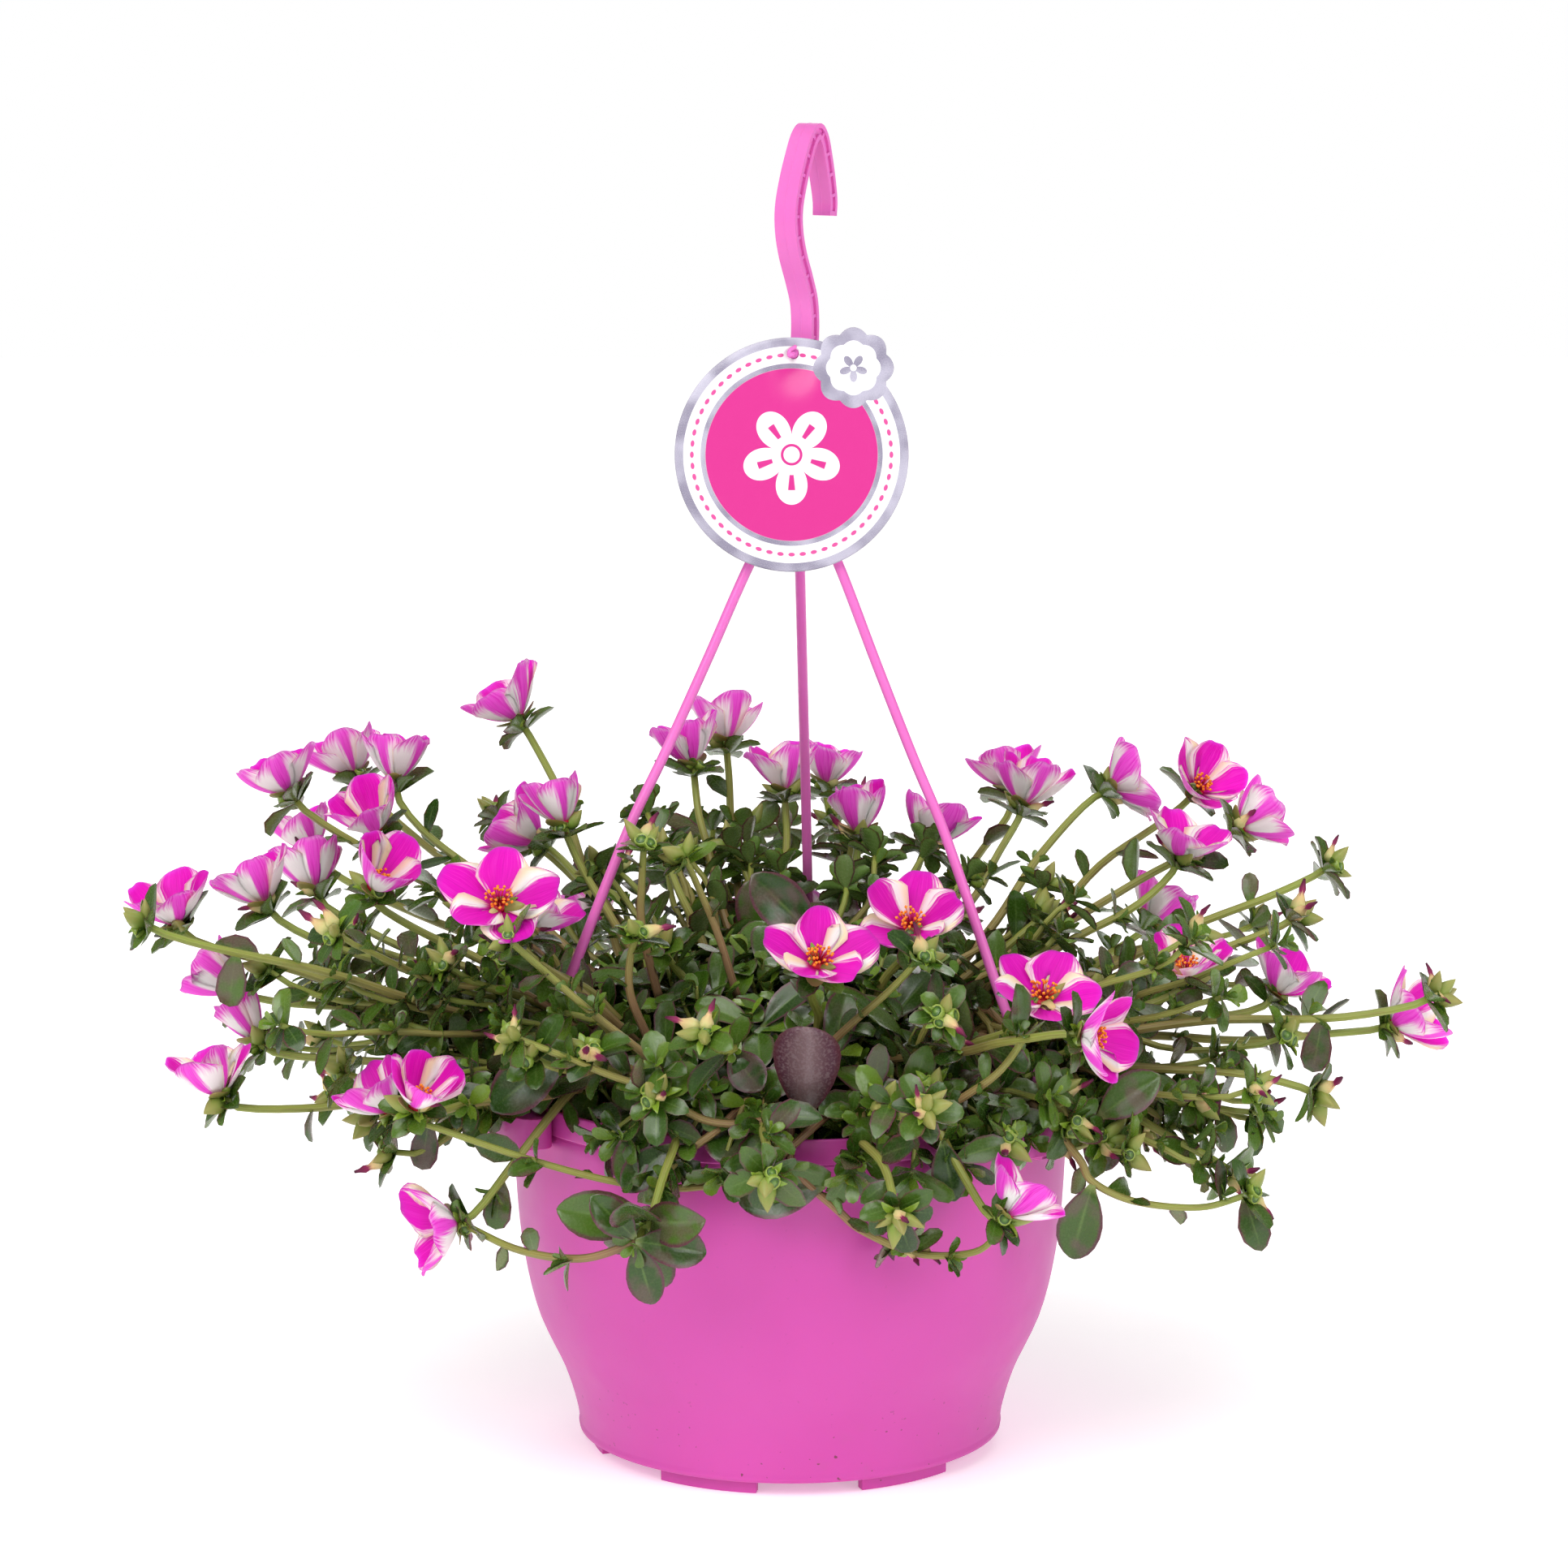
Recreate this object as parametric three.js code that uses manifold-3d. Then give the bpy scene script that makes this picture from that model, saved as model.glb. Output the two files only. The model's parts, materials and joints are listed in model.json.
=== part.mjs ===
// A portulaca (moss rose) in bloom, grown in a hanging plastic pot with a three-armed hanger.
// Millimetres, +Z up. The origin is the middle of the pot on the surface that it stands on,
// +X is to the right of the tag's face and -Y is the side that the tag faces.

import * as THREE from 'three';
import { mergeVertices } from 'three/addons/utils/BufferGeometryUtils.js';
import Module from 'manifold-3d';

const wasm = await Module();
wasm.setup();

// ---------------------------------------------------------------- driving dimensions

const GAP = 0.3;                      // clearance between pieces that touch
const MERGE = 0.1;                    // points that lie closer than this to a flat face are merged into it
const PLANT_MERGE = 0.45;              // the same on the leaves and stems

// Pot
const POT_SIDES = 32;
const RIM_RADIUS = 120;
const RIM_HEIGHT = 161;
const RIM_BAND_HEIGHT = 150;          // where the thicker rim band begins
const WALL = 2.2;
const BASE_HEIGHT = 6;                // underside of the pot's base above the feet
const BASE_RADIUS = 91.5;
const FLOOR_HEIGHT = 9;               // upper face of the pot's floor
const POT_PROFILE = [                 // outer wall: radius, height
  [BASE_RADIUS, BASE_HEIGHT], [93, 17], [98.5, 35], [110, 61], [116.5, 92], [119, 124], [119.5, 149],
];
const INNER_POINTS = [2, 3, 5, 6];    // points of the outer wall that the inner wall follows
const FOOT_COUNT = 6;
const FOOT_RADIUS = 84;               // middle of the ring of feet
const FOOT_WIDTH = 5;
const FOOT_ARC = 30;                  // degrees of the ring that one foot takes
const FOOT_START = 5.5;               // azimuth of the middle of the first foot
const FOOT_ROOT = 1;                  // depth that the foot is sunk into the base
const MOULDED = 0.01;                 // points closer than this to a flat face are merged into it

// Ears: sockets outside the rim, which the arms of the hanger go down through
const ARM_AZIMUTHS = [85.7, 205.7, 325.7];
const EAR_OUT = 137;                  // radius that the ear reaches
const EAR_WIDTH = 46;
const EAR_CORNERS = 4;
const EAR_ROOT = 1.6;                 // depth that the ear's root is sunk into the rim
const EAR_SHOULDER = 0.55;            // share of the ear's reach at its two ends
const EAR_BOTTOM = 146;
const EAR_TOP = 159.5;
const SLOT_RADIUS = 129;              // middle of the slot

// Hanger
const HUB = new THREE.Vector3(3, 0, 414);
const HUB_RADIUS = 7;
const HUB_HEIGHT = 16;
const HUB_FLARE = 1.5;                // how much wider the hub is at its foot
const ARM_RADIUS = 2.2;
const ARM_STEPS = 8;
const ARM_PATH = [                    // radius from the hub's axis, height
  [4, 415], [22, 384], [41, 345], [60, 307], [75, 279], [88, 250], [107, 206], [121, 173],
];
const STRIP_WIDTH = 6.2;
const STRIP_THICKNESS = 2.6;
const STRIP_TOP = 178;                // where the round arm turns down into its flat strip
const STRIP_BEND = 8;                 // distance inside the slot's radius of that turn
const STRIP_JOIN = [166, 170];        // heights of the arm's end and of the strip's top inside it
const STOP_WIDTH = 12;                // cross bar below the ear
const STOP_HEIGHT = 3.5;
const STOP_PROUD = 1.6;               // how much thicker the bar is than the strip
const HOOK_STEPS = 15;
const HOOK_AZIMUTH = 60;              // plane of the hook, from shank to tip
const HOOK_WIDTH = 10;
const HOOK_DEPTH = 6.6;
const HOOK_WEB = 4;                   // what is left between the recesses of the two sides
const HOOK_FLANGE = 1.7;
const HOOK_PATH = [                   // distance from the hub's axis in the hook's plane, height
  [0, 412], [1, 440], [4, 465], [6.6, 480], [6, 493], [2, 503], [-3.6, 514], [-6.8, 524], [-7, 534],
  [-3.4, 545], [1.2, 554.5], [6, 562.5], [11, 565.6], [15.4, 562], [18.6, 554.5], [21.6, 545], [23.6, 536],
  [23.4, 530],
];

// Tag
const TAG_RADIUS = 49.3;
const TAG_THICKNESS = 0.8;
const TAG_CENTRE = new THREE.Vector3(0.6, -11.5, 431);
const TAG_LEAN = 8;                   // degrees that its top leans back
const TAG_HOLE = [0.8, 42.5];         // from the tag's centre, in its own plane
const TAG_HOLE_RADIUS = 2.3;
const PEG_RADIUS = 1.9;
const PEG_HEAD_RADIUS = 3;
const PEG_HEAD_THICKNESS = 1.6;
const PEG_LENGTH = 16;
const BADGE_CENTRE = [26, 36.5];
const BADGE_RADIUS = 16;
const BADGE_LOBES = 8;
const BADGE_WAVE = 1.1;

// Soil
const SOIL_EDGE_HEIGHT = 146;
const SOIL_CROWN_HEIGHT = 149;

// Plants: eight rooted cuttings in a ring, each with a cushion of leaves and its long shoots
const PLANTS = 8;
const PLANT_START = 22.5;             // azimuth of the first plant
const CROWN_RADIUS = 58;              // where the cuttings stand
const ROOT_RADIUS = 5;
const ROOT_DEPTH = 24;
const ROOT_SIDES = 6;
const ROOT_JOIN = 4;                  // depth that the cutting is sunk into the cushion
const HOLE_LENGTH = 44;               // cutter for a cutting's hole, long enough to pass the soil's top
const MOUND_BOTTOM = 149.5;
const MOUND_PROFILE = [[0, MOUND_BOTTOM], [107, MOUND_BOTTOM], [111, 161], [98, 182], [65, 204], [0, 216]];
const MOUND_SIDES = 24;
const MOUND_SPLIT = 1.2;              // gap between the cushions of neighbouring plants
const SLICE_REACH = 150;              // cutter for one plant's share of the cushion
const SLICE_HEIGHTS = [140, 230];
const STEM_RADIUS = 2.5;
const STEM_SIDES = 3;
const STEM_STEPS = 3;
const SHOOT_ROOT_RADIUS = 62;         // where the long shoots leave the cushion
const SHOOT_ROOT_HEIGHT = 168;
const BUD_LENGTH = 12;
const BUD_RADIUS = 3;
const BUD_MIDDLE = 0.35;              // height of the bud's middle above the shoot's end, by its length
const NECK = 0.05;                    // further gap between a bloom and its shoot's end
const OWN_SHARE = 0.75;               // how far a shoot leaves its plant's middle for its own azimuth
const LOW_TIP_LEAN = 120;             // lean of the tips that hang below the rim, and of the others
const TIP_LEAN = 48;
const LAST_RUN = 18;                  // length at most of the straight run into a shoot's end
const WHORL_BACK = 4.5;               // distance of the whorl of leaves behind the shoot's end
const WHORL_LEAVES = 3;
const WAYS = [                        // bends that a shoot may take: sideways, upwards
  [0, 8], [10, 8], [-10, 8], [0, -8], [20, 8], [-20, 8], [16, -8], [-16, -8], [0, 26], [32, 8], [-32, 8],
  [30, -8], [-30, -8], [30, 26], [-30, 26], [44, 8], [-44, 8],
];
const MOST_RISE = 100;
const RIM_INSIDE = 14;                // a shoot is above the rim from this far inside it
const RIM_OUTSIDE = 5;                // to this far outside it
const EAR_OUTSIDE = 3;                // and to this far outside an ear
const SHOOT_ROOM = 6.5;               // between the middles of two shoots
const ARM_ROOM = 6;                   // between an arm's middle and a shoot's middle
const BLOOM_ROOM = 23.5;              // between a bloom's middle and another shoot's middle
const TURNS = [0, 20, -20, 40, -40, 60, -60, 85, -85];      // turns that a leaf may take, in degrees
const CROSSING = 0.5;                 // cubic millimetres that a leaf may share with its own plant's
const TOUCH = 0.001;                  // the same with another node
const LEAF_THICKNESS = 1.5;
const TIP_LEAF_LENGTH = 16;
const WHORL_OUT = 0.6;                // distance of a whorl leaf's foot from the stem's middle
const ROSETTE_SUNK = 3;               // depth of a rosette's middle in the cushion
const ROSETTE_OUT = 1.8;              // distance of its leaves' feet from that middle
const FACE_RISE = 0.12;               // how much a leaf's sides stand above its middle, by its width
const DROOP = 0.1;                    // how far its end hangs, by its length
const TIP_LEAF = [[0.6, 1]];          // rings of a leaf: share of its length, share of its width
const SMALL_LEAF = [[0.4, 0.7], [0.78, 1]];
const BROAD_LEAF = [[0.2, 0.55], [0.5, 1], [0.82, 0.8]];
const ROSETTE_LEAVES = 3;
const ROSETTES = [[0, 28], [-9, 60], [12, 74], [-12, 92], [7, 103]];    // angle, radius
const LARGE_SUNK = 4;                 // depth of a large leaf's foot in the cushion
// Large leaves: azimuth and radius of the foot, lean from upright, azimuth that it leans to, length
const LARGE_LEAVES = [
  [273, 98, 35, 280, 42], [97, 40, 20, 200, 38], [222, 100, 75, 215, 34], [236, 104, 95, 238, 36],
  [258, 104, 90, 262, 38], [330, 104, 80, 325, 36], [300, 104, 95, 300, 32], [20, 104, 85, 20, 34],
  [120, 104, 85, 125, 36], [75, 60, 30, 60, 34],
];

// Blooms
const PETALS = 5;
const PETAL_LENGTH = 25;
const PETAL_THICKNESS = 1.1;
const BLOOM_MIDDLE = 10;              // height of a bloom's middle above its base
const WIDE_OPEN = 54;                 // opening from which the stamens show
const BLOOM_FOOT = 2;                 // radius of the green base that the petals stand on
const BLOOM_BEND = 5;                 // distance from the base within which a petal turns up
const CUP_OPENINGS = [45, 62];        // a half-closed bloom's opening and a wide open one's,
const CUP_BENDS = [22, 8];            // and how much their petals' feet lean out more than the whole petal
const PETAL_HALF = 9.8;               // half the width of a petal near its end
const PETAL_SPREAD = 30;              // the same at most, in degrees round the bloom
const NOTCH = [3.2, 0.5];             // between two petals: distance of the ring point, share of the rim's
const BELLY = 0.55;                   // share of the petal's length at its middle point
const SHOULDER = 0.9;                 // and at the two corners of its end
const STAMEN_RADIUS = 2.2;
const STAMEN_HEIGHTS = [0.25, 7.25];

// Long shoots that carry a bloom: azimuth, reach and height of the middle of the bloom, then how far
// the bloom leans from upright, the azimuth that it leans to, and the angle between its petals and
// its axis, all in degrees
const FLOWERING = [
  [147, 150, 312, 35, 170, 42], [161, 240, 280, 30, 165, 40], [147, 240, 280, 22, 160, 36], [154, 195, 285, 8, 60, 33],
  [167, 190, 268, 30, 220, 36], [180, 230, 245, 28, 165, 40], [190, 175, 255, 42, 315, 34], [184, 265, 240, 18, 210, 40],
  [170, 255, 195, 55, 175, 36], [181, 235, 185, 35, 170, 22], [194, 250, 175, 20, 190, 34], [209, 195, 175, 32, 190, 44],
  [222, 200, 185, 38, 310, 30], [220, 190, 125, 95, 200, 48], [220, 155, 260, 42, 275, 60], [211, 120, 245, 40, 355, 36],
  [164, 105, 275, 18, 150, 34], [139, 160, 250, 55, 180, 36], [109, 140, 285, 10, 150, 36], [100, 168, 290, 12, 90, 37],
  [91, 120, 275, 4, 90, 34], [84, 178, 268, 15, 60, 34], [72, 100, 260, 4, 90, 33], [61, 135, 250, 25, 30, 40],
  [276, 120, 240, 40, 285, 60], [306, 85, 245, 38, 265, 52], [57, 185, 270, 15, 140, 38], [46, 155, 270, 15, 30, 38],
  [36, 190, 270, 75, 12, 54], [19, 185, 255, 15, 340, 50], [33, 225, 270, 48, 300, 42], [22, 225, 260, 60, 15, 42],
  [312, 155, 225, 30, 280, 60], [308, 203, 212, 95, 336, 44], [357, 170, 215, 16, 270, 48], [0, 215, 205, 30, 350, 46],
  [2, 270, 185, 62, 345, 42], [302, 175, 145, 35, 5, 44], [150, 255, 245, 30, 150, 38], [164, 220, 240, 25, 120, 38],
  [33, 200, 215, 35, 20, 38], [118, 204, 196, 40, 120, 40], [70, 196, 190, 45, 75, 40], [98, 184, 186, 45, 100, 42],
  [85, 135, 205, 35, 88, 54],
];

// Long shoots that end in buds: azimuth, reach and height of the end, and the length of its leaves if large
const BUDDING = [
  [190, 285, 245], [135, 200, 260], [148, 75, 260], [10, 120, 235], [14, 255, 250], [5, 230, 235],
  [354, 285, 210], [345, 240, 160], [338, 210, 130], [229, 170, 205], [247, 150, 190], [287, 190, 195],
  [267, 194, 155], [283, 199, 140], [322, 160, 155], [177, 200, 225], [202, 165, 230], [219, 80, 235],
  [250, 180, 128, 30], [107, 190, 170], [126, 225, 165],
];

// ---------------------------------------------------------------- helpers

const radians = THREE.MathUtils.degToRad;

// A number from 0 to 1 that depends only on its two whole numbers
function draw(row, column) {
  const wave = Math.sin(row * 12.9898 + column * 78.233) * 43758.5453;
  return wave - Math.floor(wave);
}

const spread = (row, column, low, high) => low + (high - low) * draw(row, column);

function polar(azimuth, radius, height) {
  const turn = radians(azimuth);
  return new THREE.Vector3(radius * Math.cos(turn), radius * Math.sin(turn), height);
}

// Unit vector that leans from upright towards an azimuth
function leaning(lean, azimuth) {
  return polar(azimuth, Math.sin(radians(lean)), Math.cos(radians(lean)));
}

// A matrix that takes +Z to the axis, with the given turn about it, and the origin to the place
function standing(place, axis, turn = 0) {
  const lift = new THREE.Quaternion().setFromUnitVectors(new THREE.Vector3(0, 0, 1), axis);
  const spin = new THREE.Quaternion().setFromAxisAngle(new THREE.Vector3(0, 0, 1), radians(turn));
  return new THREE.Matrix4().compose(place, lift.multiply(spin), new THREE.Vector3(1, 1, 1));
}

function weld(geometry) {
  const bare = geometry.clone();
  bare.deleteAttribute('normal');
  bare.deleteAttribute('uv');
  const welded = mergeVertices(bare, 1e-4);
  const kept = [];
  const index = welded.index.array;
  for (let i = 0; i < index.length; i += 3) {
    const [a, b, c] = [index[i], index[i + 1], index[i + 2]];
    if (a !== b && b !== c && c !== a) kept.push(a, b, c);
  }
  welded.setIndex(kept);
  return welded;
}

function solid(geometry, matrix = new THREE.Matrix4()) {
  const welded = weld(geometry.clone().applyMatrix4(matrix));
  return new wasm.Manifold(new wasm.Mesh({
    numProp: 3,
    vertProperties: Float32Array.from(welded.attributes.position.array),
    triVerts: Uint32Array.from(welded.index.array),
  }));
}

function geometryOf(body, origin = new THREE.Vector3()) {
  const { vertProperties, triVerts, numProp } = body.getMesh();
  const positions = [];
  for (let i = 0; i < vertProperties.length; i += numProp) {
    positions.push(vertProperties[i] - origin.x, vertProperties[i + 1] - origin.y,
      vertProperties[i + 2] - origin.z);
  }
  const geometry = new THREE.BufferGeometry();
  geometry.setAttribute('position', new THREE.Float32BufferAttribute(positions, 3));
  geometry.setIndex(Array.from(triVerts));
  geometry.computeVertexNormals();
  return geometry;
}

// A solid turned about +Z from a profile of radius and height
function turned(profile, sides) {
  const points = profile.map(([radius, height]) => new THREE.Vector2(radius, height));
  return new THREE.LatheGeometry(points, sides).rotateX(Math.PI / 2);
}

function roundShape(radius, sides) {
  const shape = new THREE.Shape();
  for (let i = 0; i < sides; i += 1) {
    const turn = (i / sides) * 2 * Math.PI;
    const point = [radius * Math.cos(turn), radius * Math.sin(turn)];
    if (i === 0) shape.moveTo(...point);
    else shape.lineTo(...point);
  }
  shape.closePath();
  return shape;
}

function polygon(points) {
  const shape = new THREE.Shape();
  shape.moveTo(...points[0]);
  points.slice(1).forEach((point) => shape.lineTo(...point));
  shape.closePath();
  return shape;
}

const extruded = (shape, depth) => new THREE.ExtrudeGeometry(shape, { depth, bevelEnabled: false });

function swept(shape, path, steps) {
  return new THREE.ExtrudeGeometry(shape, { steps, extrudePath: path, bevelEnabled: false });
}

// A curve in the plane of X and Z, through points of distance and height
const planeCurve = (points) => new THREE.CatmullRomCurve3(
  points.map(([distance, height]) => new THREE.Vector3(distance, 0, height)), false, 'centripetal');

const turnedTo = (azimuth, x = 0, y = 0) => new THREE.Matrix4().makeTranslation(x, y, 0)
  .multiply(new THREE.Matrix4().makeRotationZ(radians(azimuth)));

function union(bodies) {
  return wasm.Manifold.union(bodies);
}

// The outer body alone: cavities and loose scraps are left out
function largest(body) {
  const bodies = body.decompose();
  const outer = bodies.filter((piece) => piece.volume() > 0);
  outer.sort((a, b) => b.volume() - a.volume());
  return outer[0];
}

// Gives a sheet its thickness. Inside its edge every point is doubled, and both faces are split
// into the same triangles, so that they meet along the edge as a blade does.
function blade(sheet, thickness) {
  const welded = weld(sheet);
  welded.computeVertexNormals();
  const index = Array.from(welded.index.array);
  const uses = new Map();
  for (let i = 0; i < index.length; i += 3) {
    for (let k = 0; k < 3; k += 1) {
      const pair = [index[i + k], index[i + ((k + 1) % 3)]].sort((a, b) => a - b).join('-');
      uses.set(pair, (uses.get(pair) ?? 0) + 1);
    }
  }
  const edge = new Set();
  uses.forEach((count, pair) => {
    if (count === 1) pair.split('-').forEach((vertex) => edge.add(Number(vertex)));
  });
  const place = welded.attributes.position;
  const normal = welded.attributes.normal;
  const positions = [];
  const lower = [];
  for (let i = 0; i < place.count; i += 1) {
    const lift = edge.has(i) ? 0 : thickness / 2;
    positions.push(place.getX(i) + normal.getX(i) * lift, place.getY(i) + normal.getY(i) * lift,
      place.getZ(i) + normal.getZ(i) * lift);
  }
  for (let i = 0; i < place.count; i += 1) {
    if (edge.has(i)) {
      lower.push(i);
    } else {
      lower.push(positions.length / 3);
      const drop = -thickness / 2;
      positions.push(place.getX(i) + normal.getX(i) * drop, place.getY(i) + normal.getY(i) * drop,
        place.getZ(i) + normal.getZ(i) * drop);
    }
  }
  const faces = [...index];
  for (let i = 0; i < index.length; i += 3) {
    faces.push(lower[index[i]], lower[index[i + 2]], lower[index[i + 1]]);
  }
  const geometry = new THREE.BufferGeometry();
  geometry.setAttribute('position', new THREE.Float32BufferAttribute(positions, 3));
  geometry.setIndex(faces);
  return geometry;
}

// ---------------------------------------------------------------- what stands, and what it must clear

const placed = [];                    // every solid that stands: { node, body, box }

function boxOf(body) {
  const { min, max } = body.boundingBox();
  return new THREE.Box3(new THREE.Vector3(...min), new THREE.Vector3(...max));
}

// A base is what leaves grow from, such as the middle of a cushion
function put(node, body, base = false) {
  placed.push({ node, body, base, box: boxOf(body) });
}

// ---------------------------------------------------------------- pot

function makeEar(azimuth) {
  const root = RIM_RADIUS - EAR_ROOT;
  const reach = EAR_OUT - root;
  const shape = new THREE.Shape();
  shape.moveTo(root, -EAR_WIDTH / 2);
  for (let i = 0; i <= EAR_CORNERS; i += 1) {
    const turn = ((i / EAR_CORNERS) - 0.5) * Math.PI;
    const out = EAR_SHOULDER + (1 - EAR_SHOULDER) * Math.cos(turn);
    shape.lineTo(root + reach * out, (EAR_WIDTH / 2 - 2) * Math.sin(turn));
  }
  shape.lineTo(root, EAR_WIDTH / 2);
  shape.closePath();
  const slot = new THREE.Path();
  const halfDepth = STRIP_THICKNESS / 2 + GAP;
  const halfWidth = STRIP_WIDTH / 2 + GAP;
  slot.moveTo(SLOT_RADIUS - halfDepth, -halfWidth);
  slot.lineTo(SLOT_RADIUS - halfDepth, halfWidth);
  slot.lineTo(SLOT_RADIUS + halfDepth, halfWidth);
  slot.lineTo(SLOT_RADIUS + halfDepth, -halfWidth);
  slot.closePath();
  shape.holes.push(slot);
  const body = extruded(shape, EAR_TOP - EAR_BOTTOM).translate(0, 0, EAR_BOTTOM);
  return solid(body, turnedTo(azimuth));
}

function makeFoot(azimuth) {
  const shape = new THREE.Shape();
  const half = radians(FOOT_ARC / 2);
  shape.absarc(0, 0, FOOT_RADIUS + FOOT_WIDTH / 2, -half, half, false);
  shape.absarc(0, 0, FOOT_RADIUS - FOOT_WIDTH / 2, half, -half, true);
  shape.closePath();
  const body = new THREE.ExtrudeGeometry(shape, {
    depth: BASE_HEIGHT + FOOT_ROOT, bevelEnabled: false, curveSegments: 2,
  });
  return solid(body, turnedTo(azimuth));
}

const innerWall = INNER_POINTS.map((i) => [POT_PROFILE[i][0] - WALL, POT_PROFILE[i][1]]);
const INNER_FLOOR_RADIUS = BASE_RADIUS - WALL;

function makePot() {
  const wall = [
    [0, BASE_HEIGHT], ...POT_PROFILE, [RIM_RADIUS, RIM_BAND_HEIGHT], [RIM_RADIUS, RIM_HEIGHT],
    [RIM_RADIUS - WALL, RIM_HEIGHT], ...innerWall.toReversed(), [INNER_FLOOR_RADIUS, FLOOR_HEIGHT],
    [0, FLOOR_HEIGHT],
  ];
  const bodies = [solid(turned(wall, POT_SIDES))];
  ARM_AZIMUTHS.forEach((azimuth) => bodies.push(makeEar(azimuth)));
  for (let i = 0; i < FOOT_COUNT; i += 1) {
    bodies.push(makeFoot(FOOT_START + (i * 360) / FOOT_COUNT));
  }
  return union(bodies).simplify(MOULDED);
}

// ---------------------------------------------------------------- soil

const crownAt = (plant) => polar(PLANT_START + (plant * 360) / PLANTS, CROWN_RADIUS, 0);

function makeSoil() {
  const side = innerWall.slice(0, -1).map(([radius, height]) => [radius - GAP, height]);
  const edge = innerWall[innerWall.length - 2][0];
  const profile = [
    [0, FLOOR_HEIGHT + GAP], [INNER_FLOOR_RADIUS - GAP, FLOOR_HEIGHT + GAP], ...side,
    [edge, SOIL_EDGE_HEIGHT], [0, SOIL_CROWN_HEIGHT],
  ];
  const holes = [];
  for (let plant = 0; plant < PLANTS; plant += 1) {
    const hole = new THREE.CylinderGeometry(ROOT_RADIUS + GAP, ROOT_RADIUS + GAP, HOLE_LENGTH, ROOT_SIDES)
      .rotateX(Math.PI / 2);
    const crown = crownAt(plant);
    const middle = MOUND_BOTTOM - ROOT_DEPTH - GAP + HOLE_LENGTH / 2;
    holes.push(solid(hole, new THREE.Matrix4().makeTranslation(crown.x, crown.y, middle)));
  }
  return solid(turned(profile, POT_SIDES)).subtract(union(holes));
}

// ---------------------------------------------------------------- hanger

function makeArm(azimuth) {
  const last = ARM_PATH.length - 1;
  const reach = SLOT_RADIUS;
  const [armEnd, stripTop] = STRIP_JOIN;
  const path = [...ARM_PATH.slice(0, last), [reach - STRIP_BEND, STRIP_TOP], [reach, armEnd]];
  // The arms start at the hub but their ends stand in ears that are spaced about the pot's axis
  const foot = polar(azimuth, reach, 0);
  const offset = new THREE.Vector2(foot.x - HUB.x, foot.y - HUB.y);
  const stretch = offset.length() / reach;
  const aim = THREE.MathUtils.radToDeg(offset.angle());
  const rod = swept(roundShape(ARM_RADIUS, 6), planeCurve(path.map(([r, z]) => [r * stretch, z])), ARM_STEPS);
  const stripBottom = EAR_BOTTOM - STOP_HEIGHT;
  const strip = new THREE.BoxGeometry(STRIP_THICKNESS, STRIP_WIDTH, stripTop - stripBottom);
  strip.translate(reach, 0, (stripTop + stripBottom) / 2);
  const stop = new THREE.BoxGeometry(STRIP_THICKNESS + STOP_PROUD, STOP_WIDTH, STOP_HEIGHT);
  stop.translate(reach, 0, EAR_BOTTOM - GAP - STOP_HEIGHT / 2);
  return [
    solid(rod, turnedTo(aim, HUB.x, HUB.y)), solid(strip, turnedTo(azimuth)),
    solid(stop, turnedTo(azimuth)),
  ];
}

function makeHook() {
  const width = HOOK_WIDTH / 2;
  const depth = HOOK_DEPTH / 2;
  const web = HOOK_WEB / 2;
  const lip = depth - HOOK_FLANGE;
  const section = polygon([
    [-width, -depth], [width, -depth], [width, -lip], [web, -lip], [web, lip], [width, lip],
    [width, depth], [-width, depth], [-width, lip], [-web, lip], [-web, -lip], [-width, -lip],
  ]);
  return solid(swept(section, planeCurve(HOOK_PATH), HOOK_STEPS), turnedTo(HOOK_AZIMUTH, HUB.x, HUB.y));
}

// The tag's own plane: X to the right, Y up the tag, Z towards the viewer
function tagMatrix() {
  const lean = new THREE.Matrix4().makeRotationX(Math.PI / 2 - radians(TAG_LEAN));
  return new THREE.Matrix4().makeTranslation(TAG_CENTRE.x, TAG_CENTRE.y, TAG_CENTRE.z).multiply(lean);
}

function makePeg() {
  const headBack = TAG_THICKNESS / 2 + GAP;
  const headMiddle = headBack + PEG_HEAD_THICKNESS / 2;
  const pin = new THREE.CylinderGeometry(PEG_RADIUS, PEG_RADIUS, PEG_LENGTH, 8).rotateX(Math.PI / 2);
  pin.translate(...TAG_HOLE, headMiddle - PEG_LENGTH / 2);
  const head = new THREE.CylinderGeometry(PEG_HEAD_RADIUS, PEG_HEAD_RADIUS - 0.6, PEG_HEAD_THICKNESS, 8)
    .rotateX(Math.PI / 2);
  head.translate(...TAG_HOLE, headMiddle);
  return [solid(pin, tagMatrix()), solid(head, tagMatrix())];
}

function makeHanger() {
  const hub = new THREE.CylinderGeometry(HUB_RADIUS, HUB_RADIUS + HUB_FLARE, HUB_HEIGHT, 12)
    .rotateX(Math.PI / 2);
  const bodies = [solid(hub, new THREE.Matrix4().makeTranslation(HUB.x, HUB.y, HUB.z)), makeHook()];
  ARM_AZIMUTHS.forEach((azimuth) => bodies.push(...makeArm(azimuth)));
  bodies.push(...makePeg());
  return union(bodies).simplify(MERGE);
}

// ---------------------------------------------------------------- tag

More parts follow.
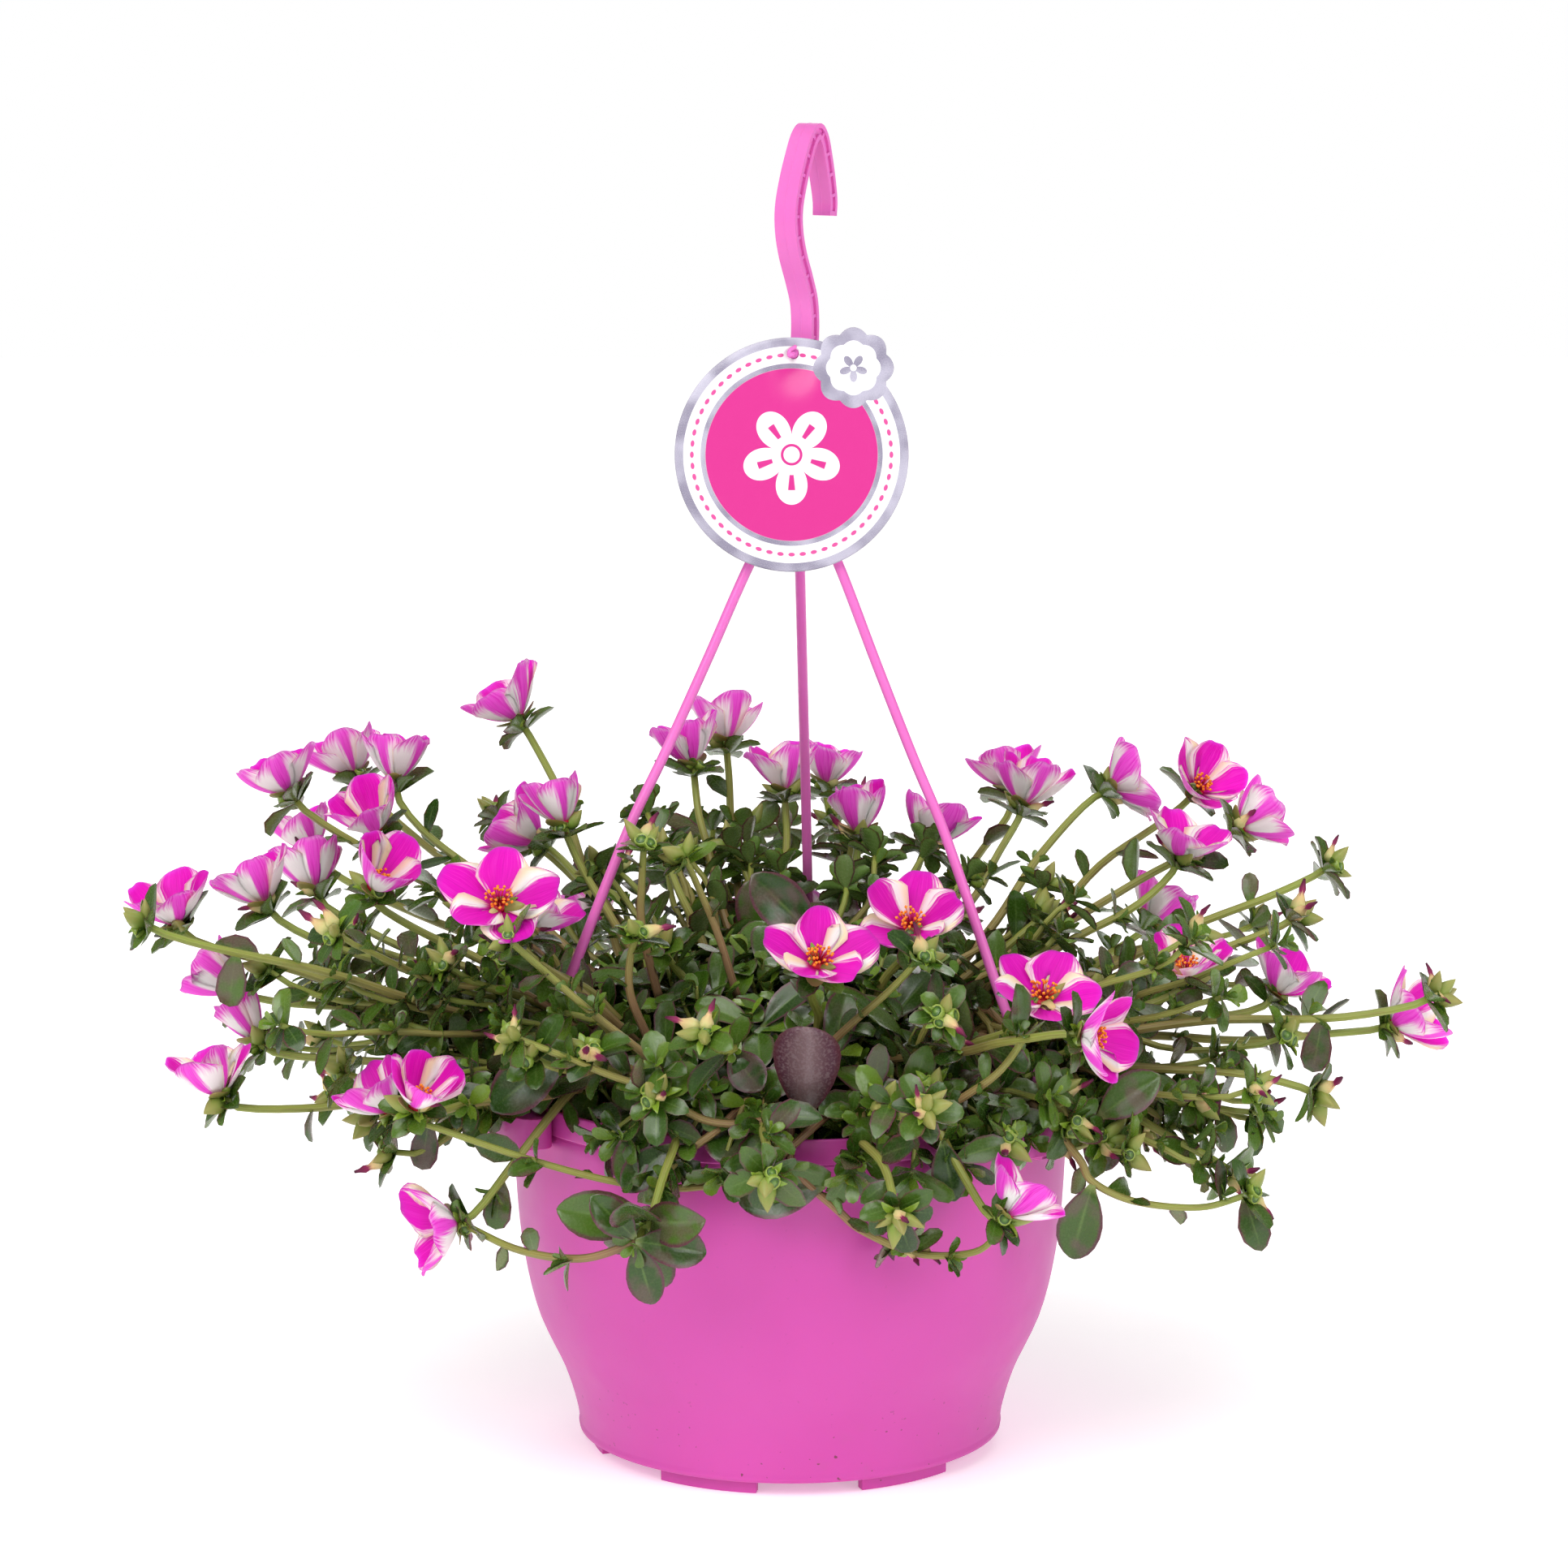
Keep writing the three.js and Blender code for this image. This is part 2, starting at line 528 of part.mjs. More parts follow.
function makeTag() {
  const disc = extruded(roundShape(TAG_RADIUS, 36), TAG_THICKNESS);
  disc.translate(0, 0, -TAG_THICKNESS / 2);
  const points = [];
  const sides = BADGE_LOBES * 2;
  for (let i = 0; i < sides; i += 1) {
    const turn = (i / sides) * 2 * Math.PI;
    const radius = BADGE_RADIUS + BADGE_WAVE * (Math.abs(Math.cos((turn * BADGE_LOBES) / 2)) * 2 - 1);
    points.push([BADGE_CENTRE[0] + radius * Math.cos(turn), BADGE_CENTRE[1] + radius * Math.sin(turn)]);
  }
  const badge = extruded(polygon(points), TAG_THICKNESS).translate(0, 0, -TAG_THICKNESS / 2);
  const hole = extruded(roundShape(TAG_HOLE_RADIUS, 8), 4).translate(...TAG_HOLE, -2);
  return solid(disc).add(solid(badge)).subtract(solid(hole)).transform(tagMatrix().elements);
}

// ---------------------------------------------------------------- blooms

// Distance from the bloom's axis and height above its base, at a distance along a petal. The petal
// is an arc, which leans out at its foot and stands up at its end.
function petalCurve(along, opening) {
  const cup = radians(THREE.MathUtils.clamp(
    THREE.MathUtils.mapLinear(opening, ...CUP_OPENINGS, ...CUP_BENDS), CUP_BENDS[1], CUP_BENDS[0]));
  const foot = radians(opening) + cup;
  const angle = foot - 2 * cup * along / PETAL_LENGTH;
  const radius = PETAL_LENGTH / (2 * cup);
  return [
    (Math.cos(angle) - Math.cos(foot)) * radius + BLOOM_FOOT * along / (along + BLOOM_BEND),
    (Math.sin(foot) - Math.sin(angle)) * radius,
  ];
}

// One sheet of five petals joined at their feet: a middle point, a ring of ten points that are by
// turns between two petals and on a petal, and a rim of twenty. It is then given its thickness.
function makeCorolla(row, opening) {
  const length = PETAL_LENGTH * spread(row, 1, 0.94, 1.06);
  const positions = [0, 0, 0];
  const faces = [];
  const add = (along, open, around, lift = 0) => {
    const [out, height] = petalCurve(along, open);
    positions.push(out * Math.cos(around), out * Math.sin(around), height + lift);
  };
  for (let petal = 0; petal < PETALS; petal += 1) {
    const middle = ((petal + 0.5) / PETALS) * 2 * Math.PI;
    add(NOTCH[0], opening, middle - Math.PI / PETALS);
    add(length * BELLY, opening + spread(row, 10 + petal, -8, 8), middle);
  }
  for (let petal = 0; petal < PETALS; petal += 1) {
    const middle = ((petal + 0.5) / PETALS) * 2 * Math.PI;
    const open = opening + spread(row, 10 + petal, -8, 8);
    const [out] = petalCurve(length * SHOULDER, open);
    const half = Math.min(radians(PETAL_SPREAD), Math.asin(Math.min(1, PETAL_HALF / out)));
    const wave = (column) => spread(row, column + petal, -1.2, 1.4);
    add(length * NOTCH[1], opening, middle - Math.PI / PETALS);
    add(length * SHOULDER, open, middle - half, wave(20));
    add(length * spread(row, 30 + petal, 0.95, 1.04), open, middle, wave(40));
    add(length * SHOULDER, open, middle + half, wave(50));
  }
  const inner = (i) => 1 + (i % 10);
  const rim = (i) => 11 + (i % 20);
  for (let petal = 0; petal < PETALS; petal += 1) {
    const [between, on, next] = [inner(2 * petal), inner(2 * petal + 1), inner(2 * petal + 2)];
    const edge = [0, 1, 2, 3, 4].map((i) => rim(4 * petal + i));
    faces.push(0, between, on, 0, on, next);
    faces.push(between, edge[0], edge[1], between, edge[1], on, on, edge[1], edge[2]);
    faces.push(on, edge[2], edge[3], on, edge[3], next, next, edge[3], edge[4]);
  }
  const sheet = new THREE.BufferGeometry();
  sheet.setAttribute('position', new THREE.Float32BufferAttribute(positions, 3));
  sheet.setIndex(faces);
  return blade(sheet, PETAL_THICKNESS);
}

// The tuft of stamens is left out where the petals close round it
function makeBloom(row, opening) {
  const corolla = solid(makeCorolla(row, opening));
  if (opening < WIDE_OPEN) return corolla;
  const [low, high] = STAMEN_HEIGHTS;
  const stamens = new THREE.ConeGeometry(STAMEN_RADIUS, high - low, 4).rotateX(Math.PI / 2)
    .translate(0, 0, (low + high) / 2);
  return largest(corolla.add(solid(stamens))).simplify(MERGE);
}

// ---------------------------------------------------------------- long shoots

const plantOf = (azimuth) => Math.floor((((azimuth % 360) + 360) % 360) / (360 / PLANTS));

const shoots = [];
FLOWERING.forEach(([azimuth, reach, height, lean, leanTo, opening], i) => {
  const axis = leaning(lean, leanTo);
  const middle = polar(azimuth, reach, height);
  const base = middle.clone().addScaledVector(axis, -BLOOM_MIDDLE);
  shoots.push({
    row: i + 1, azimuth, axis, middle, base, opening, leaf: TIP_LEAF_LENGTH,
    end: base.clone().addScaledVector(axis, -PETAL_THICKNESS / 2 - GAP - NECK),
  });
});
BUDDING.forEach(([azimuth, reach, height, leaf = TIP_LEAF_LENGTH], i) => {
  const axis = leaning(height < RIM_HEIGHT ? LOW_TIP_LEAN : TIP_LEAN, azimuth);
  const end = polar(azimuth, reach, height).addScaledVector(axis, -BUD_LENGTH);
  shoots.push({ row: i + 101, azimuth, axis, end, leaf });
});

function shootCurve(shoot, sway, rise) {
  const wedge = 360 / PLANTS;
  const middle = (plantOf(shoot.azimuth) + 0.5) * wedge;
  const own = ((shoot.azimuth % 360) + 360) % 360;
  const reach = Math.hypot(shoot.end.x, shoot.end.y);
  const root = polar(middle + OWN_SHARE * (own - middle), Math.min(SHOOT_ROOT_RADIUS, reach * 0.45),
    SHOOT_ROOT_HEIGHT);
  const run = shoot.end.clone().sub(root);
  const across = new THREE.Vector3(-run.y, run.x, 0).normalize();
  const first = root.clone().addScaledVector(run, 0.4).addScaledVector(across, sway);
  first.z += rise;
  const last = shoot.end.clone().addScaledVector(shoot.axis, -Math.min(LAST_RUN, run.length() / 4));
  return new THREE.CubicBezierCurve3(root, first, last, shoot.end);
}

// The points along a shoot's straight pieces, close enough together to measure by
function samples(curve) {
  const corners = curve.getSpacedPoints(STEM_STEPS);
  const points = [];
  corners.slice(1).forEach((corner, i) => {
    for (let k = 0; k < 10; k += 1) points.push(corners[i].clone().lerp(corner, k / 10));
  });
  points.push(corners[STEM_STEPS]);
  return points;
}

// Whether a shoot passes over the rim, and over the ears where it comes near one
const overRim = (points) => points.every((point) => {
  const radius = Math.hypot(point.x, point.y);
  const nearEar = ARM_AZIMUTHS.some((azimuth) => {
    const ear = polar(azimuth, SLOT_RADIUS, point.z);
    return ear.distanceTo(point) < EAR_WIDTH / 2 + RIM_OUTSIDE;
  });
  const outer = nearEar ? EAR_OUT + EAR_OUTSIDE : RIM_RADIUS + RIM_OUTSIDE;
  return radius < RIM_RADIUS - RIM_INSIDE || radius > outer || point.z > RIM_HEIGHT + STEM_RADIUS + 2;
});

function room(points, others, apart) {
  let least = Infinity;
  points.forEach((point) => others.forEach((other) => {
    least = Math.min(least, point.distanceTo(other) - apart);
  }));
  return least;
}

// Each shoot takes the least bent of its possible ways that is clear of the arms, of the blooms of
// other shoots, and of the shoots of other plants that were laid before it
function layShoots() {
  const arms = [];
  ARM_AZIMUTHS.forEach((azimuth) => {
    const path = ARM_PATH.concat([[SLOT_RADIUS, 160]]);
    path.slice(1).forEach(([radius, height], i) => {
      for (let k = 0; k <= 8; k += 1) {
        const [r0, z0] = path[i];
        arms.push(polar(azimuth, r0 + (radius - r0) * (k / 8), z0 + (height - z0) * (k / 8)));
      }
    });
  });
  shoots.forEach((shoot, i) => {
    let best = -Infinity;
    WAYS.forEach(([sway, start]) => {
      if (best >= 0) return;
      let rise = start;
      let points = samples(shootCurve(shoot, sway, rise));
      while (!overRim(points) && rise < MOST_RISE) {
        rise += 6;
        points = samples(shootCurve(shoot, sway, rise));
      }
      let least = room(points, arms, ARM_ROOM);
      shoots.forEach((other, k) => {
        if (other === shoot) return;
        if (other.middle) least = Math.min(least, room(points, [other.middle], BLOOM_ROOM));
        if (k < i && plantOf(other.azimuth) !== plantOf(shoot.azimuth)) {
          least = Math.min(least, room(points, other.points, SHOOT_ROOM));
        }
      });
      if (least > best) {
        best = least;
        Object.assign(shoot, { sway, rise, points, curve: shootCurve(shoot, sway, rise), least });
      }
    });
  });
}

// ---------------------------------------------------------------- leaves and buds

// A blade along +X with its upper face to +Z: four points round each ring, and a point at each end
function makeLeaf(length, width, rings) {
  const blank = new THREE.SphereGeometry(1, 4, rings.length + 1);
  const place = blank.attributes.position;
  for (let i = 0; i < place.count; i += 1) {
    const angle = Math.acos(Math.max(-1, Math.min(1, place.getY(i))));
    const ring = Math.round((angle / Math.PI) * (rings.length + 1));
    const [along, broad] = [[0, 0], ...rings, [1, 0]][ring];
    const side = place.getX(i) / Math.max(1e-6, Math.sin(angle));
    const face = place.getZ(i) / Math.max(1e-6, Math.sin(angle));
    const rise = FACE_RISE * width * Math.abs(side) * broad;
    const z = (face * LEAF_THICKNESS) / 2 - DROOP * length * along * along + rise;
    place.setXYZ(i, length * along, (side * broad * width) / 2, ring === 0 ? 0 : z);
  }
  return blank;
}

function leafMatrix(foot, direction, upper) {
  const x = direction.clone().normalize();
  const y = upper.clone().cross(x).normalize();
  const z = x.clone().cross(y);
  return new THREE.Matrix4().makeBasis(x, y, z).setPosition(foot);
}

// Adds a leaf to a plant where it crosses no other node and none of its own plant's blades, apart
// from the cushion that it grows from. It is turned a little until it is clear, or left out.
function grow(plant, makeBody) {
  return TURNS.some((turn) => {
    const body = makeBody(turn);
    const box = boxOf(body);
    const blocked = placed.some((other) => {
      if (other.node === plant && other.base) return false;
      if (!other.box.intersectsBox(box)) return false;
      return body.intersect(other.body).volume() > (other.node === plant ? CROSSING : TOUCH);
    });
    if (blocked) return false;
    put(plant, body);
    return true;
  });
}

// Leaves round the end of a shoot, and its bud where it has no bloom
function growTip(plant, shoot) {
  const corners = shoot.curve.getSpacedPoints(STEM_STEPS);
  const along = shoot.end.clone().sub(corners[STEM_STEPS - 1]).normalize();
  const foot = shoot.end.clone().addScaledVector(along, -WHORL_BACK);
  const frame = new THREE.Quaternion().setFromUnitVectors(new THREE.Vector3(0, 0, 1), along);
  if (!shoot.middle) {
    const bud = new THREE.OctahedronGeometry(1).scale(BUD_RADIUS, BUD_RADIUS, BUD_LENGTH / 2)
      .translate(0, 0, BUD_LENGTH * BUD_MIDDLE);
    put(plant, solid(bud, standing(shoot.end, shoot.axis)));
  }
  const shape = shoot.leaf > TIP_LEAF_LENGTH ? SMALL_LEAF : TIP_LEAF;
  for (let k = 0; k < WHORL_LEAVES; k += 1) {
    const length = shoot.leaf * spread(shoot.row, 50 + k, 0.85, 1.2);
    grow(plant, (turn) => {
      const around = (k / WHORL_LEAVES) * 360 + 90 * draw(shoot.row, 60) + turn;
      const direction = leaning(spread(shoot.row, 70 + k, 58, 80), around).applyQuaternion(frame);
      const leaf = makeLeaf(length, length * 0.5, shape);
      return solid(leaf, leafMatrix(foot.clone().addScaledVector(direction, WHORL_OUT), direction, along));
    });
  }
}

// ---------------------------------------------------------------- cushions of leaves

function moundHeight(radius) {
  const top = MOUND_PROFILE.slice(2);
  for (let i = 1; i < top.length; i += 1) {
    const [outer, low] = top[i - 1];
    const [inner, high] = top[i];
    if (radius >= inner) return low + ((outer - radius) / (outer - inner)) * (high - low);
  }
  return top[top.length - 1][1];
}

function makeMound(plant) {
  const wedge = radians(180 / PLANTS);
  const apex = MOUND_SPLIT / 2 / Math.sin(wedge);
  const far = apex + SLICE_REACH * Math.cos(wedge);
  const side = SLICE_REACH * Math.sin(wedge);
  const [low, high] = SLICE_HEIGHTS;
  const slice = extruded(polygon([[apex, 0], [far, -side], [far, side]]), high - low).translate(0, 0, low);
  const mound = solid(turned(MOUND_PROFILE, MOUND_SIDES));
  const own = mound.intersect(solid(slice, turnedTo((plant + 0.5) * (360 / PLANTS))));
  const through = shoots
    .filter((shoot) => plantOf(shoot.azimuth) !== plant)
    .map((shoot) => solid(swept(roundShape(STEM_RADIUS + GAP, STEM_SIDES), shoot.curve, STEM_STEPS)))
    .filter((way) => way.intersect(own).volume() > 0);
  return own.subtract(union(through));
}

function makeCrown(plant) {
  const crown = crownAt(plant);
  const height = ROOT_DEPTH + ROOT_JOIN;
  const stub = new THREE.CylinderGeometry(ROOT_RADIUS, ROOT_RADIUS, height, ROOT_SIDES).rotateX(Math.PI / 2);
  const middle = MOUND_BOTTOM - ROOT_DEPTH + height / 2;
  return solid(stub, new THREE.Matrix4().makeTranslation(crown.x, crown.y, middle));
}

function growCushion(plant, name) {
  ROSETTES.forEach(([offset, radius], r) => {
    const row = 200 + plant * 10 + r;
    const azimuth = (plant + 0.5) * (360 / PLANTS) + offset;
    const height = moundHeight(radius);
    const axis = leaning(radius * 0.55, azimuth);
    const foot = polar(azimuth, radius, height).addScaledVector(axis, -ROSETTE_SUNK);
    const frame = new THREE.Quaternion().setFromUnitVectors(new THREE.Vector3(0, 0, 1), axis);
    for (let k = 0; k < ROSETTE_LEAVES; k += 1) {
      const length = spread(row, k, 24, 32);
      grow(name, (turn) => {
        const around = (k / ROSETTE_LEAVES) * 360 + 120 * draw(row, 5) + turn;
        const direction = leaning(spread(row, 10 + k, 48, 72), around).applyQuaternion(frame);
        const leaf = makeLeaf(length, length * 0.46, SMALL_LEAF);
        return solid(leaf, leafMatrix(foot.clone().addScaledVector(direction, ROSETTE_OUT), direction, axis));
      });
    }
  });
}

function growLargeLeaves() {
  LARGE_LEAVES.forEach(([azimuth, radius, lean, leanTo, length]) => {
    const name = plantName(plantOf(azimuth));
    const foot = polar(azimuth, radius - 3, moundHeight(radius) - LARGE_SUNK);
    grow(name, (turn) => {
      const direction = leaning(lean, leanTo + turn);
      const upper = leaning(lean - 90, leanTo + turn);
      return solid(makeLeaf(length, length * 0.62, BROAD_LEAF), leafMatrix(foot, direction, upper));
    });
  });
}

// ---------------------------------------------------------------- materials

const plastic = (color, roughness) => new THREE.MeshStandardMaterial({ color, roughness, metalness: 0 });
const MATERIALS = {
  pot: plastic(0xee5fc0, 0.42),
  hanger: plastic(0xe868c4, 0.4),
  tag: plastic(0xf4d7ea, 0.35),
  soil: plastic(0x2c2019, 0.95),
  leaf: plastic(0x3f5f38, 0.5),
  petal: plastic(0xc41fb4, 0.6),
};

// ---------------------------------------------------------------- assembly

const portulaca = new THREE.Group();

function show(name, body, material, origin = new THREE.Vector3()) {
  const mesh = new THREE.Mesh(geometryOf(body, origin), material);
  mesh.name = name;
  mesh.position.copy(origin);
  portulaca.add(mesh);
}

const plantName = (plant) => `plant_${plant + 1}`;
const made = { pot: makePot(), soil: makeSoil(), hanger: makeHanger(), tag: makeTag() };
Object.entries(made).forEach(([name, body]) => {
  put(name, body);
  show(name, body, MATERIALS[name]);
});

const flowering = shoots.filter((shoot) => shoot.middle);
flowering.forEach((shoot) => {
  const name = `bloom_${String(shoot.row).padStart(2, '0')}`;
  const body = makeBloom(shoot.row, shoot.opening);
  const matrix = standing(shoot.base, shoot.axis, (360 / PETALS) * draw(shoot.row, 2));
  put(name, body.transform(matrix.elements));
  const mesh = new THREE.Mesh(geometryOf(body), MATERIALS.petal);
  mesh.name = name;
  mesh.applyMatrix4(matrix);
  portulaca.add(mesh);
});

layShoots();
for (let plant = 0; plant < PLANTS; plant += 1) {
  put(plantName(plant), makeMound(plant), true);
  put(plantName(plant), makeCrown(plant));
}
shoots.forEach((shoot) => {
  const stem = swept(roundShape(STEM_RADIUS, STEM_SIDES), shoot.curve, STEM_STEPS);
  put(plantName(plantOf(shoot.azimuth)), solid(stem));
});
shoots.forEach((shoot) => growTip(plantName(plantOf(shoot.azimuth)), shoot));
growLargeLeaves();
for (let plant = 0; plant < PLANTS; plant += 1) growCushion(plant, plantName(plant));

for (let plant = 0; plant < PLANTS; plant += 1) {
  const name = plantName(plant);
  const bodies = placed.filter((piece) => piece.node === name).map((piece) => piece.body);
  show(name, largest(union(bodies)).simplify(PLANT_MERGE), MATERIALS.leaf, crownAt(plant));
}

export default portulaca;
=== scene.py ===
"""A portulaca in bloom in its hanging pot: the looks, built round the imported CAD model.

Blender works in metres, +Z up, with the origin in the middle of the pot on the surface that it
stands on. The shapes are worked out in millimetres, as in the CAD model, and are scaled when a
piece is made. Azimuths and leans are in degrees.
"""

import json
import math

import bpy
import numpy as np
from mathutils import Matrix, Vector

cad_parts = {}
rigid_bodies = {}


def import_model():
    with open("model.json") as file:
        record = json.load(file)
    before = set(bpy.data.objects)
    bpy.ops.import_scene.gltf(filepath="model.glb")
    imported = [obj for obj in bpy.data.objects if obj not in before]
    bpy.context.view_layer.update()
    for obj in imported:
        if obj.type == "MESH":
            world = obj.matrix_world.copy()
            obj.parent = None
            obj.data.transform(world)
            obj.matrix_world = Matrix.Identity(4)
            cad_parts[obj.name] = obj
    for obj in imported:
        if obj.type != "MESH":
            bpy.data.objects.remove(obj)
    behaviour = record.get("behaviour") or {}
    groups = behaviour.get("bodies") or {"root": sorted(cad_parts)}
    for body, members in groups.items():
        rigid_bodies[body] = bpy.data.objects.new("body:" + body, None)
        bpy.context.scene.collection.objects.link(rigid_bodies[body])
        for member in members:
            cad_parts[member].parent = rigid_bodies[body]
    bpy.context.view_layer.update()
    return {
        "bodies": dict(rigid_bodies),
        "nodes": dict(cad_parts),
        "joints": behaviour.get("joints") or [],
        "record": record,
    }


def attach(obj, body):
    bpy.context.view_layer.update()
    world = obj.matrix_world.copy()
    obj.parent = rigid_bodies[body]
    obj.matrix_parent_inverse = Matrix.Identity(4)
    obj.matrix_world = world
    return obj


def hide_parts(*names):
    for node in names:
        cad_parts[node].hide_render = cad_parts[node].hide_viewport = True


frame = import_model()

MM = 0.001
GOLDEN_TURN = 137.508

# ---- sizes shared with the CAD model

RIM_RADIUS = 120
RIM_HEIGHT = 161
WALL = 2.2
BASE_HEIGHT = 6
FLOOR_HEIGHT = 9
POT_PROFILE = [(91.5, 6), (93, 17), (98.5, 35), (110, 61), (116.5, 92), (119, 124), (119.5, 149)]
RIM_BAND_HEIGHT = 150
FOOT_COUNT = 6
FOOT_RADIUS = 84
FOOT_WIDTH = 5
FOOT_ARC = 30
FOOT_START = 5.5
ARM_AZIMUTHS = [85.7, 205.7, 325.7]
EAR_OUT = 137
EAR_WIDTH = 46
EAR_BOTTOM = 146
EAR_TOP = 159.5
SLOT_RADIUS = 129

HUB = np.array([3.0, 0.0, 414.0])
HUB_RADIUS = 7
HUB_HEIGHT = 16
ARM_RADIUS = 2.2
ARM_PATH = [(4, 415), (22, 384), (41, 345), (60, 307), (75, 279), (88, 250), (107, 206), (121, 173)]
STRIP_WIDTH = 6.2
STRIP_THICKNESS = 2.6
STRIP_TOP = 178
STOP_WIDTH = 12
STOP_HEIGHT = 3.5
HOOK_AZIMUTH = 60
HOOK_WIDTH = 10
HOOK_DEPTH = 6.6
HOOK_WEB = 7.4
HOOK_FLANGE = 1.9
HOOK_PATH = [
    (0, 412), (1, 440), (4, 465), (6.6, 480), (6, 493), (2, 503), (-3.6, 514), (-6.8, 524), (-7, 534),
    (-3.4, 545), (1.2, 554.5), (6, 562.5), (11, 565.6), (15.4, 562), (18.6, 554.5), (21.6, 545),
    (23.6, 536), (23.4, 530),
]

TAG_RADIUS = 49.3
TAG_THICKNESS = 0.8
TAG_CENTRE = np.array([0.6, -11.5, 431.0])
TAG_LEAN = 8
TAG_HOLE = (0.8, 42.5)
TAG_HOLE_RADIUS = 2.3
PEG_RADIUS = 1.9
PEG_LENGTH = 16
BADGE_CENTRE = (26, 36.5)
BADGE_RADIUS = 16
BADGE_LOBES = 8
BADGE_WAVE = 1.1

SOIL_EDGE_HEIGHT = 146
SOIL_CROWN_HEIGHT = 149
PLANTS = 8
MOUND_PROFILE = [(111, 161), (98, 182), (65, 204), (0, 216)]
SHOOT_ROOT_RADIUS = 62
SHOOT_ROOT_HEIGHT = 168
SHOOT_END = 18          # how far a stem at most runs straight to its end
STEM_STEPS = 3          # straight pieces of the CAD model's stems
STEP_SAMPLES = 10       # points along each of them
# Ways for a shoot to bend: aside, and up
WAYS = [
    (0, 8), (10, 8), (-10, 8), (0, -8), (20, 8), (-20, 8), (16, -8), (-16, -8), (0, 26), (32, 8),
    (-32, 8), (30, -8), (-30, -8), (30, 26), (-30, 26), (44, 8), (-44, 8),
]
MOST_RISE, RISE_STEP = 100, 6
# Least distances of a shoot's line from other plants' shoots, the arms, and the middles of blooms
SHOOT_ROOM, ARM_ROOM, BLOOM_ROOM = 6.5, 6, 23.5
STEM_RADIUS = 2.5
OWN_SHARE = 0.75        # how far a shoot's root follows its azimuth from its plant's middle
# How far inside and outside the rim, and outside the ears, a shoot has to be above them
RIM_INSIDE, RIM_OUTSIDE, EAR_OUTSIDE = 14, 5, 3
BUD_LENGTH = 12
WHORL_BACK = 4.5
WHORL_LEAVES = 3
ROSETTE_LEAVES = 3
# Rosettes of large leaves on each plant: azimuth from its middle, and radius
ROSETTES = [(0, 28), (-9, 60), (12, 74), (-12, 92), (7, 103)]
# Large leaves: azimuth and radius of the foot, lean from upright, azimuth that it leans to, length
LARGE_LEAVES = [
    (97, 40, 20, 200, 38), (222, 100, 75, 215, 34), (236, 104, 95, 238, 36), (258, 104, 90, 262, 38),
    (330, 104, 80, 325, 36), (300, 104, 95, 300, 32), (20, 104, 85, 20, 34), (120, 104, 85, 125, 36),
    (75, 60, 30, 60, 34),
]

PETALS = 5
STEM_LINES = 9          # fine lines round a stem
PURPLE_AGE = 1.3        # age of a leaf that is purple all over its lower side
PETAL_LENGTH = 25
PETAL_THICKNESS = 1.1
BLOOM_MIDDLE = 10

# Long shoots that carry a bloom: azimuth, reach and height of the middle of the bloom, then how far
# the bloom leans, the azimuth that it leans to, and the angle between its petals and its axis
FLOWERING = [
    (147, 150, 312, 35, 170, 42), (161, 240, 280, 30, 165, 40), (147, 240, 280, 22, 160, 36),
    (154, 195, 285, 8, 60, 33), (167, 190, 268, 30, 220, 36), (180, 230, 245, 28, 165, 40),
    (190, 175, 255, 42, 315, 34), (184, 265, 240, 18, 210, 40), (170, 255, 195, 55, 175, 36),
    (181, 235, 185, 35, 170, 22), (194, 250, 175, 20, 190, 34), (209, 195, 175, 32, 190, 44),
    (222, 200, 185, 38, 310, 30), (220, 190, 125, 95, 200, 48), (220, 155, 260, 42, 275, 60),
    (211, 120, 245, 40, 355, 36), (164, 105, 275, 18, 150, 34), (139, 160, 250, 55, 180, 36),
    (109, 140, 285, 10, 150, 36), (100, 168, 290, 12, 90, 37), (91, 120, 275, 4, 90, 34),
    (84, 178, 268, 15, 60, 34), (72, 100, 260, 4, 90, 33), (61, 135, 250, 25, 30, 40),
    (276, 120, 240, 40, 285, 60), (306, 85, 245, 38, 265, 52), (57, 185, 270, 15, 140, 38),
    (46, 155, 270, 15, 30, 38), (36, 190, 270, 75, 12, 54), (19, 185, 255, 15, 340, 50),
    (33, 225, 270, 48, 300, 42), (22, 225, 260, 60, 15, 42), (312, 155, 225, 30, 280, 60),
    (308, 203, 212, 95, 336, 44), (357, 170, 215, 16, 270, 48), (0, 215, 205, 30, 350, 46),
    (2, 270, 185, 62, 345, 42), (302, 175, 145, 35, 5, 44), (150, 255, 245, 30, 150, 38),
    (164, 220, 240, 25, 120, 38), (33, 200, 215, 35, 20, 38), (118, 204, 196, 40, 120, 40),
    (70, 196, 190, 45, 75, 40), (98, 184, 186, 45, 100, 42), (85, 135, 205, 35, 88, 54),
]

# Long shoots that end in buds: azimuth, reach and height of the end, and the length of its leaves if large
BUDDING = [
    (190, 285, 245), (135, 200, 260), (148, 75, 260), (10, 120, 235), (14, 255, 250), (5, 230, 235),
    (354, 285, 210), (345, 240, 160), (338, 210, 130), (229, 170, 205), (247, 150, 190), (287, 190, 195),
    (267, 194, 155), (283, 199, 140), (322, 160, 155), (177, 200, 225), (202, 165, 230), (219, 80, 235),
    (250, 180, 128, 30), (107, 190, 170), (126, 225, 165),
]
TIP_LEAF_LENGTH = 16

# ---- numbers and directions


def draw(row, column):
    """A number from 0 to 1 that depends only on its two whole numbers."""
    wave = math.sin(row * 12.9898 + column * 78.233) * 43758.5453
    return wave - math.floor(wave)


def spread(row, column, low, high):
    return low + (high - low) * draw(row, column)


def polar(azimuth, radius, height):
    turn = math.radians(azimuth)
    return np.array([radius * math.cos(turn), radius * math.sin(turn), height])


def azimuth_of(place):
    return math.degrees(math.atan2(place[1], place[0]))


